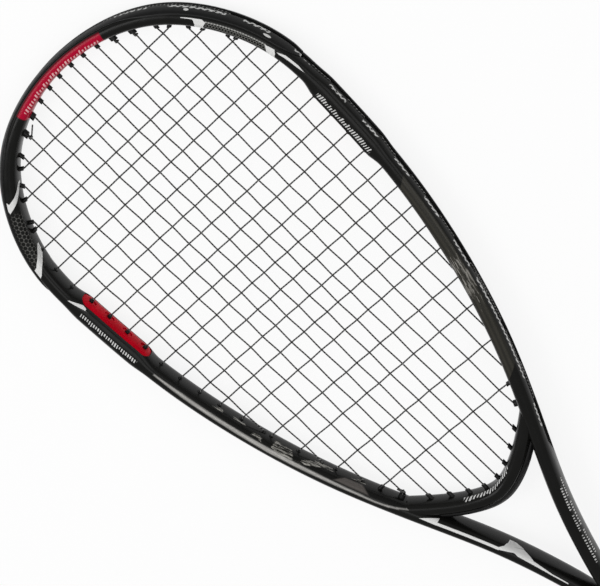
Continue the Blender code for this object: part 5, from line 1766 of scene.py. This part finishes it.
def loft_up(name, sections, closed=False):
    """A skin up the handle through sections (corner outline, y, rounding)."""
    rings = []
    for corners, y, reach in sections:
        outline = rounded_outline(corners, reach)
        rings.append(np.column_stack([outline[:, 0], np.full(len(outline), y), outline[:, 1]]))
    return sweep(name, rings, closed)


def top_section(out, y, reach):
    """The handle's plain section above the flare, moved outward, for loft_up."""
    return handle_outline(HANDLE_TOP_Y, out), y, reach


def grip_mesh():
    """A grip band wound up the handle, tapered where it starts and ends."""
    bottom = CAP_LENGTH + FIT_GAP
    inner = rounded_outline(handle_outline(HANDLE_TOP_Y, FIT_GAP), PALLET_ROUNDING)
    outer = rounded_outline(handle_outline(HANDLE_TOP_Y, FIT_GAP + GRIP_THICKNESS), RIM_ROUNDING)
    sides = np.linalg.norm(np.roll(inner, -1, axis=0) - inner, axis=1)
    perimeter = sides.sum()
    shares = np.array([0.0, 0.012, 0.03, 0.06, 0.10, 0.16, *np.linspace(0.24, 0.76, 9)])
    shares = np.concatenate([shares, 1 - shares[5::-1]])
    rise_shares = np.minimum(shares, 1 - shares)
    step = round(OUTLINE_POINTS * GRIP_START)
    arc = -sides[step] / 2
    rings, band = [], []
    while True:
        here = step % OUTLINE_POINTS
        start = bottom + GRIP_PITCH * (arc / perimeter - 1)
        high = min(GRIP_TOP_Y, bottom + GRIP_PITCH * arc / perimeter)
        low = max(bottom, start + GRIP_SEAM * 0.4)
        if high - low > GRIP_LEAST_WIDTH:
            rise = 0.45 + 0.55 * smoothstep(rise_shares * (high - low), 0.0, GRIP_EDGE_WIDTH)
            lift = inner[here] + (outer[here] - inner[here]) * rise[:, None]
            heights = low + shares * (high - low)
            top = np.column_stack([lift[:, 0], heights, lift[:, 1]])
            x, z = inner[here]
            rings.append(np.vstack([top, (x, heights[-1], z), (x, heights[0], z)]))
            rows = np.concatenate([heights, heights[[-1, 0]]]) - start
            band.append(np.column_stack([np.full(len(rows), arc), rows, np.zeros(len(rows))]))
        elif rings:
            break
        arc += sides[here]
        step += 1
    mesh = sweep("grip", rings)
    attribute = mesh.attributes.new("band", "FLOAT_VECTOR", "POINT")
    attribute.data.foreach_set("vector", np.vstack(band).ravel())
    return mesh


def tape_mesh():
    """One turn of tape, as a closed band round the grip's upper end."""
    grow = 2 * FIT_GAP + GRIP_THICKNESS
    outer, inner = grow + TAPE_THICKNESS, grow - FIT_GAP
    edge = TAPE_THICKNESS * 0.35
    half = [(inner, 0.0), (outer - edge, 0.0), (outer, edge)]
    ends = [(out, TAPE_BOTTOM_Y + up) for out, up in half]
    ends += [(out, TAPE_TOP_Y - up) for out, up in reversed(half)]
    return loft_up("tape", [top_section(out, y, RIM_ROUNDING) for out, y in ends], closed=True)


def collar_mesh():
    """A ribbed rubber sleeve over the tape and the pallets' top, drawn in to the shaft."""
    grow = 3 * FIT_GAP + GRIP_THICKNESS + TAPE_THICKNESS
    out = FIT_GAP + COLLAR_WALL
    half_width = LEG_OFFSET + SHAFT_HALF_WIDTH + out
    narrow = octagon(half_width, SHAFT_HALF_DEPTH + out, HANDLE_CORNER * 0.8)
    wide = handle_outline(HANDLE_TOP_Y, grow + COLLAR_WALL)
    rings = [
        top_section(grow * 0.985, COLLAR_BOTTOM_Y + 0.0006, INSIDE_ROUNDING),
        top_section(grow + 0.2 * COLLAR_WALL, COLLAR_BOTTOM_Y, RIM_ROUNDING),
        top_section(grow + 0.75 * COLLAR_WALL, COLLAR_BOTTOM_Y + 0.0002, RIM_ROUNDING),
    ]
    for share in np.linspace(0, 1, 40):
        y = COLLAR_BOTTOM_Y + COLLAR_LIP + share * (HANDLE_TOP_Y - COLLAR_BOTTOM_Y - COLLAR_LIP)
        rib = COLLAR_RIB_DEPTH * max(0.0, math.cos(2 * math.pi * COLLAR_RIBS * share))
        rings.append(top_section(grow + COLLAR_WALL - rib, y, OUTSIDE_ROUNDING))
    for share in np.linspace(0, 1, 18)[1:]:
        corners = wide + (narrow - wide) * float(smoothstep(share, 0.0, 1.0))
        y = HANDLE_TOP_Y + share * (COLLAR_TOP_Y - HANDLE_TOP_Y - 0.0004)
        rings.append((corners, y, OUTSIDE_ROUNDING))
    rings.append((narrow * 0.985, COLLAR_TOP_Y, OUTSIDE_ROUNDING))
    rings.append((narrow * 0.90, COLLAR_TOP_Y, RIM_ROUNDING))
    rings.append((narrow * 0.86, COLLAR_TOP_Y - 0.002, RIM_ROUNDING))
    return loft_up("collar", rings)


def cap_mesh():
    """A flared cap with a rounded rim, a shallow dished end face and a fine groove."""
    grow = FIT_GAP + CAP_WALL
    end = handle_outline(0.0, grow)
    dish = ((0.55, CAP_DISH), (0.80, CAP_DISH), (0.84, 0.0))
    rings = [(end * share, y, RIM_ROUNDING) for share, y in dish]
    for angle in np.linspace(0, math.pi / 2, 10):
        y = CAP_EDGE_RADIUS * (1 - math.cos(angle))
        out = grow - CAP_EDGE_RADIUS * (1 - math.sin(angle))
        rings.append((handle_outline(y, out), y, OUTSIDE_ROUNDING))
    for y in np.linspace(0.003, CAP_LENGTH - 0.0006, 24):
        dip = CAP_GROOVE_DEPTH * math.exp(-(((y - CAP_GROOVE_Y) / CAP_GROOVE_WIDTH) ** 2))
        rings.append((handle_outline(y, grow - dip), y, OUTSIDE_ROUNDING))
    rings.append((handle_outline(CAP_LENGTH, grow - 0.0003), CAP_LENGTH, OUTSIDE_ROUNDING))
    for y in (CAP_LENGTH, CAP_LENGTH - 0.003):
        rings.append((handle_outline(CAP_LENGTH, FIT_GAP), y, INSIDE_ROUNDING))
    return loft_up("cap", rings)


def tack_mesh():
    """A round-headed tack through the grip into the front pallet."""
    seat = HANDLE_HALF_DEPTH + 2 * FIT_GAP + GRIP_THICKNESS
    profile = [(0.0001, seat - TACK_SHANK_LENGTH), (TACK_SHANK_RADIUS, seat - 0.003)]
    profile += [(TACK_SHANK_RADIUS, seat), (0.97 * TACK_HEAD_RADIUS, seat)]
    for angle in np.linspace(0.12, math.pi / 2 - 0.02, 10):
        height = seat + TACK_HEAD_HEIGHT * math.sin(angle)
        profile.append((TACK_HEAD_RADIUS * math.cos(angle), height))
    angles = np.linspace(0, 2 * math.pi, 32, endpoint=False)
    rings = []
    for radius, z in profile:
        y = CAP_LENGTH + TACK_ABOVE_CAP + radius * np.sin(angles)
        rings.append(np.column_stack([radius * np.cos(angles), y, np.full(len(angles), z)]))
    return sweep("tack", rings)


def staple_points(side):
    """A staple's wire: two legs into the cap's wall and a crown that lies on it."""
    wall = float(handle_outline(STAPLE_Y, FIT_GAP + CAP_WALL)[0][0])
    crown = wall + FIT_GAP + STAPLE_WIRE_RADIUS
    span, bend = STAPLE_HALF_SPAN, 2 * STAPLE_WIRE_RADIUS
    half = [(crown - STAPLE_LEG, span), (crown - bend, span)]
    for angle in np.linspace(0, math.pi / 2, 7)[1:]:
        half.append((crown - bend + bend * math.sin(angle), span - bend + bend * math.cos(angle)))
    route = half + [(x, -up) for x, up in reversed(half)]
    return [(side * x, STAPLE_Y, up) for x, up in route]


# Settings, operators and panel


def colour_property(name, description, default):
    return bpy.props.FloatVectorProperty(
        name=name, description=description, subtype="COLOR", size=3, default=default, min=0, max=1
    )


def length_property(name, description, low, default, high):
    return bpy.props.FloatProperty(
        name=name, description=description, unit="LENGTH", min=low, default=default, max=high
    )


class RACKET_PG_settings(bpy.types.PropertyGroup):
    lacquer: colour_property("Lacquer", "Ground colour of the hoop", (0.0055, 0.0055, 0.005))
    silver: colour_property("Silver", "Colour of the painted accents", (0.66, 0.66, 0.65))
    red: colour_property("Red", "Colour of the inserts and the tip band", (0.47, 0.0, 0.010))
    moulding: colour_property("Mouldings", "Colour of bumper and strips", (0.006, 0.006, 0.006))
    strings: colour_property("Strings", "Colour of the strings", (0.012, 0.012, 0.012))
    grip: colour_property("Grip", "Colour of the grip band", (0.022, 0.022, 0.023))
    floor: colour_property("Floor", "Colour of the floor and the backdrop", (0.86, 0.86, 0.86))
    string_radius: length_property(
        "String radius", "Half the thickness of the strings", 0.0003, 0.00045, 0.0005
    )
    weave: length_property(
        "Weave", "How far each string swings from the string bed's plane", 0.0004, 0.00047, 0.0006
    )


def floor_finish(colour):
    """A matt pale floor that looks white to the camera where no shadow falls on it."""
    finish = Finish("studio_floor", colour, 0.9, specular=0.0)
    tree = finish.tree
    path = tree.nodes.new("ShaderNodeLightPath")
    rays = [path.outputs[f"Is {kind} Ray"] for kind in ("Camera", "Glossy", "Transmission")]
    seen = folded("MAXIMUM", [Field(tree, socket) for socket in rays])
    white = tree.nodes.new("ShaderNodeEmission")
    both = tree.nodes.new("ShaderNodeMixShader")
    feed(both.inputs[0], seen * FLOOR_WHITE_SHARE)
    tree.links.new(finish.shader.outputs[0], both.inputs[1])
    tree.links.new(white.outputs[0], both.inputs[2])
    tree.links.new(both.outputs[0], tree.nodes["Material Output"].inputs["Surface"])
    return finish.material


class RACKET_OT_stage(bpy.types.Operator):
    """Sets up the floor, the lights and the photograph's camera"""

    bl_idname = "racket.stage"
    bl_label = "Stage"

    def execute(self, context):
        scene = context.scene
        scene.view_settings.view_transform = "Standard"
        scene.camera = self.camera()
        self.floor(scene.racket.floor)
        for name, place, power in LAMPS:
            self.lamp(name, Vector(place), power)
        scene.world = bpy.data.worlds.new("studio")
        scene.world.use_nodes = True
        background = scene.world.node_tree.nodes["Background"]
        background.inputs["Color"].default_value = (1, 1, 1, 1)
        background.inputs["Strength"].default_value = WORLD_STRENGTH
        return {"FINISHED"}

    def camera(self):
        camera = linked("camera", bpy.data.cameras.new("camera"))
        camera.data.sensor_fit = "HORIZONTAL"
        camera.data.sensor_width = CAMERA_SENSOR
        camera.data.lens = CAMERA_LENS
        axes = Matrix((CAMERA_RIGHT, CAMERA_UP, CAMERA_BACK)).transposed().to_4x4()
        pivot = Matrix.Translation(CAMERA_PIVOT)
        turn = pivot @ Matrix.Rotation(CAMERA_TURN, 4, "Z") @ pivot.inverted()
        camera.matrix_world = turn @ Matrix.Translation(CAMERA_PLACE) @ axes
        return camera

    def floor(self, colour):
        """The plane that the racket lies on, which slopes from the handle down to the head."""
        (near_y, near_z), (far_y, far_z) = FLOOR_REST
        slope = (far_z - near_z) / (far_y - near_y)
        reach = FLOOR_REACH
        points = []
        for x, y in ((-reach, -reach), (reach, -reach), (reach, reach), (-reach, reach)):
            points.append((x, y, near_z + slope * (y - near_y)))
        mesh = mesh_of("floor", points, [(0, 1, 2, 3)])
        mesh.materials.append(floor_finish(colour))
        linked("floor", mesh)

    def lamp(self, name, place, power):
        lamp = bpy.data.lights.new(name, "AREA")
        lamp.shape, lamp.size, lamp.energy = "SQUARE", LAMP_SIZE, power
        made = linked(name, lamp)
        made.location = place
        made.rotation_euler = (Vector(LAMP_TARGET) - place).to_track_quat("-Z", "Y").to_euler()


class RACKET_OT_hoop(bpy.types.Operator):
    """Makes the lacquered hoop with its string holes and blade recesses"""

    bl_idname = "racket.hoop"
    bl_label = "Hoop"

    def execute(self, context):
        settings = context.scene.racket
        recess = insert_block(FIT_GAP / 2)
        mesh = combined(
            hoop_blank(),
            ("DIFFERENCE", clearance_rods("holes", holes_on(HOOP_WALL))),
            ("DIFFERENCE", recess),
            ("DIFFERENCE", mirrored_in_x(recess)),
        )
        surface_coordinates(mesh, HOOP)
        piece("hoop_lacquered", mesh, lacquer_finish(settings), "carbon", "hoop_frame")
        return {"FINISHED"}


class RACKET_OT_bridge(bpy.types.Operator):
    """Makes the lacquered throat bridge with its string holes"""

    bl_idname = "racket.bridge"
    bl_label = "Throat bridge"

    def execute(self, context):
        settings = context.scene.racket
        holes = clearance_rods("holes", holes_on(BRIDGE_WALL))
        mesh = combined(bridge_mesh(bridge_groove_reach()), ("DIFFERENCE", holes))
        surface_coordinates(mesh, BRIDGE)
        piece("bridge_lacquered", mesh, bridge_finish(settings), "carbon", "throat_bridge")
        return {"FINISHED"}


class RACKET_OT_inserts(bpy.types.Operator):
    """Makes the two red blade inserts with their string ports"""

    bl_idname = "racket.inserts"
    bl_label = "Blade inserts"

    def execute(self, context):
        settings = context.scene.racket
        mesh = combined(
            hoop_blank(INSERT_RECESS),
            ("INTERSECT", insert_block()),
            ("DIFFERENCE", clearance_rods("holes", blade_holes())),
            ("DIFFERENCE", blade_ports()),
        )
        grain = dict(size=0.0006, distance=0.000006, low=0.26, high=0.38, darker=0.92, lighter=1.1)
        finish = grained_finish("insert_red", settings.red, 0.05, **grain)
        both_sides("insert", mesh, finish, "insert", "blade_insert")
        return {"FINISHED"}


class RACKET_OT_strips(bpy.types.Operator):
    """Makes the bumper and the grommet strips with their barrels"""

    bl_idname = "racket.strips"
    bl_label = "Bumper and strips"

    def execute(self, context):
        settings = context.scene.racket
        finish = moulded_finish("moulded_nylon", settings.moulding, 0.0004, 0.00003, 0.38, 0.52)
        bumper, (near, far) = strip_spans()
        mesh = strip_mesh(HOOP_WALL, TIP_RUN - bumper, TIP_RUN + bumper, bumper_section)
        surface_coordinates(mesh, HOOP)
        piece("bumper", mesh, bumper_finish(settings), "nylon", "head_bumper")
        mesh = strip_mesh(HOOP_WALL, TIP_RUN + near, TIP_RUN + far, strip_section)
        both_sides("side_strip", mesh, finish, "nylon", "side_grommet_strip")
        middle, reach = BRIDGE.length / 2, bridge_groove_reach() - FIT_GAP
        mesh = strip_mesh(BRIDGE_WALL, middle - reach, middle + reach, bridge_strip_section)
        piece("bridge_strip", mesh, finish, "nylon", "bridge_grommet_strip")
        return {"FINISHED"}


class RACKET_OT_strings(bpy.types.Operator):
    """Threads the main string and the cross string"""

    bl_idname = "racket.strings"
    bl_label = "Strings"

    def execute(self, context):
        settings = context.scene.racket
        finish = string_finish(settings.strings)
        for name, route, node in (
            ("string_mains", main_route, "main_string"),
            ("string_crosses", cross_route, "cross_string"),
        ):
            points = eased(route(settings.weave))
            mesh = strand(name, points, settings.string_radius, STRING_SIDES, finish)
            piece(name, mesh, finish, "string", node)
        return {"FINISHED"}


class RACKET_OT_grip(bpy.types.Operator):
    """Winds the grip band and closes it with the finishing tape"""

    bl_idname = "racket.grip"
    bl_label = "Grip"

    def execute(self, context):
        settings = context.scene.racket
        piece("grip_band", grip_mesh(), grip_finish(settings.grip), "grip", "grip_wrap")
        finish = moulded_finish("tape_black", (0.03, 0.03, 0.03), 0.0009, 0.00003, 0.30, 0.45)
        piece("grip_tape", tape_mesh(), finish, "tape", "finishing_tape")
        return {"FINISHED"}


class RACKET_OT_handle(bpy.types.Operator):
    """Makes the collar, the butt cap, the tack and the staples, and finishes the pallets"""

    bl_idname = "racket.handle"
    bl_label = "Handle fittings"

    def execute(self, context):
        rubber = moulded_finish("collar_rubber", (0.018, 0.018, 0.018), 0.0003, 0.00004, 0.52, 0.68)
        piece("collar", collar_mesh(), rubber, "collar", "grip_collar")
        plastic = moulded_finish("cap_plastic", (0.02, 0.02, 0.02), 0.00045, 0.00005, 0.36, 0.50)
        piece("cap", cap_mesh(), plastic, "cap", "butt_cap")
        grain = dict(size=0.0004, distance=0.00001, low=0.20, high=0.36, darker=0.9, lighter=1.05)
        steel = grained_finish(
            "bright_steel", (0.58, 0.58, 0.56), metallic=1.0, stretch=6.0, **grain
        )
        piece("tack", tack_mesh(), steel, "steel", "grip_tack")
        for label, side in (("left", -1), ("right", 1)):
            name = "staple_" + label
            mesh = strand(name, staple_points(side), STAPLE_WIRE_RADIUS, STAPLE_SIDES, steel)
            piece(name, mesh, steel, "steel", "cap_" + name)
        foam = grained_finish(
            "pallet_foam", (0.30, 0.29, 0.27), size=0.0006, distance=0.0001, low=0.7, high=0.9
        )
        for label in ("front", "back"):
            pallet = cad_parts["handle_pallet_" + label]
            pallet.data.materials.clear()
            pallet.data.materials.append(foam)
        return {"FINISHED"}


class RACKET_PT_panel(bpy.types.Panel):
    """The racket's settings and its pieces in order"""

    bl_idname = "RACKET_PT_panel"
    bl_label = "Speed badminton racket"
    bl_space_type = "VIEW_3D"
    bl_region_type = "UI"
    bl_category = "Racket"

    def draw(self, context):
        for name in RACKET_PG_settings.__annotations__:
            self.layout.prop(context.scene.racket, name)
        for operator in OPERATORS:
            self.layout.operator(operator.bl_idname)


OPERATORS = (
    RACKET_OT_stage,
    RACKET_OT_hoop,
    RACKET_OT_bridge,
    RACKET_OT_inserts,
    RACKET_OT_strips,
    RACKET_OT_strings,
    RACKET_OT_grip,
    RACKET_OT_handle,
)
CLASSES = (RACKET_PG_settings, *OPERATORS, RACKET_PT_panel)


def register():
    for made in CLASSES:
        bpy.utils.register_class(made)
    bpy.types.Scene.racket = bpy.props.PointerProperty(type=RACKET_PG_settings)


def unregister():
    del bpy.types.Scene.racket
    for made in reversed(CLASSES):
        bpy.utils.unregister_class(made)


def main():
    register()
    for operator in OPERATORS:
        group, name = operator.bl_idname.split(".")
        getattr(getattr(bpy.ops, group), name)()


if __name__ == "__main__":
    main()
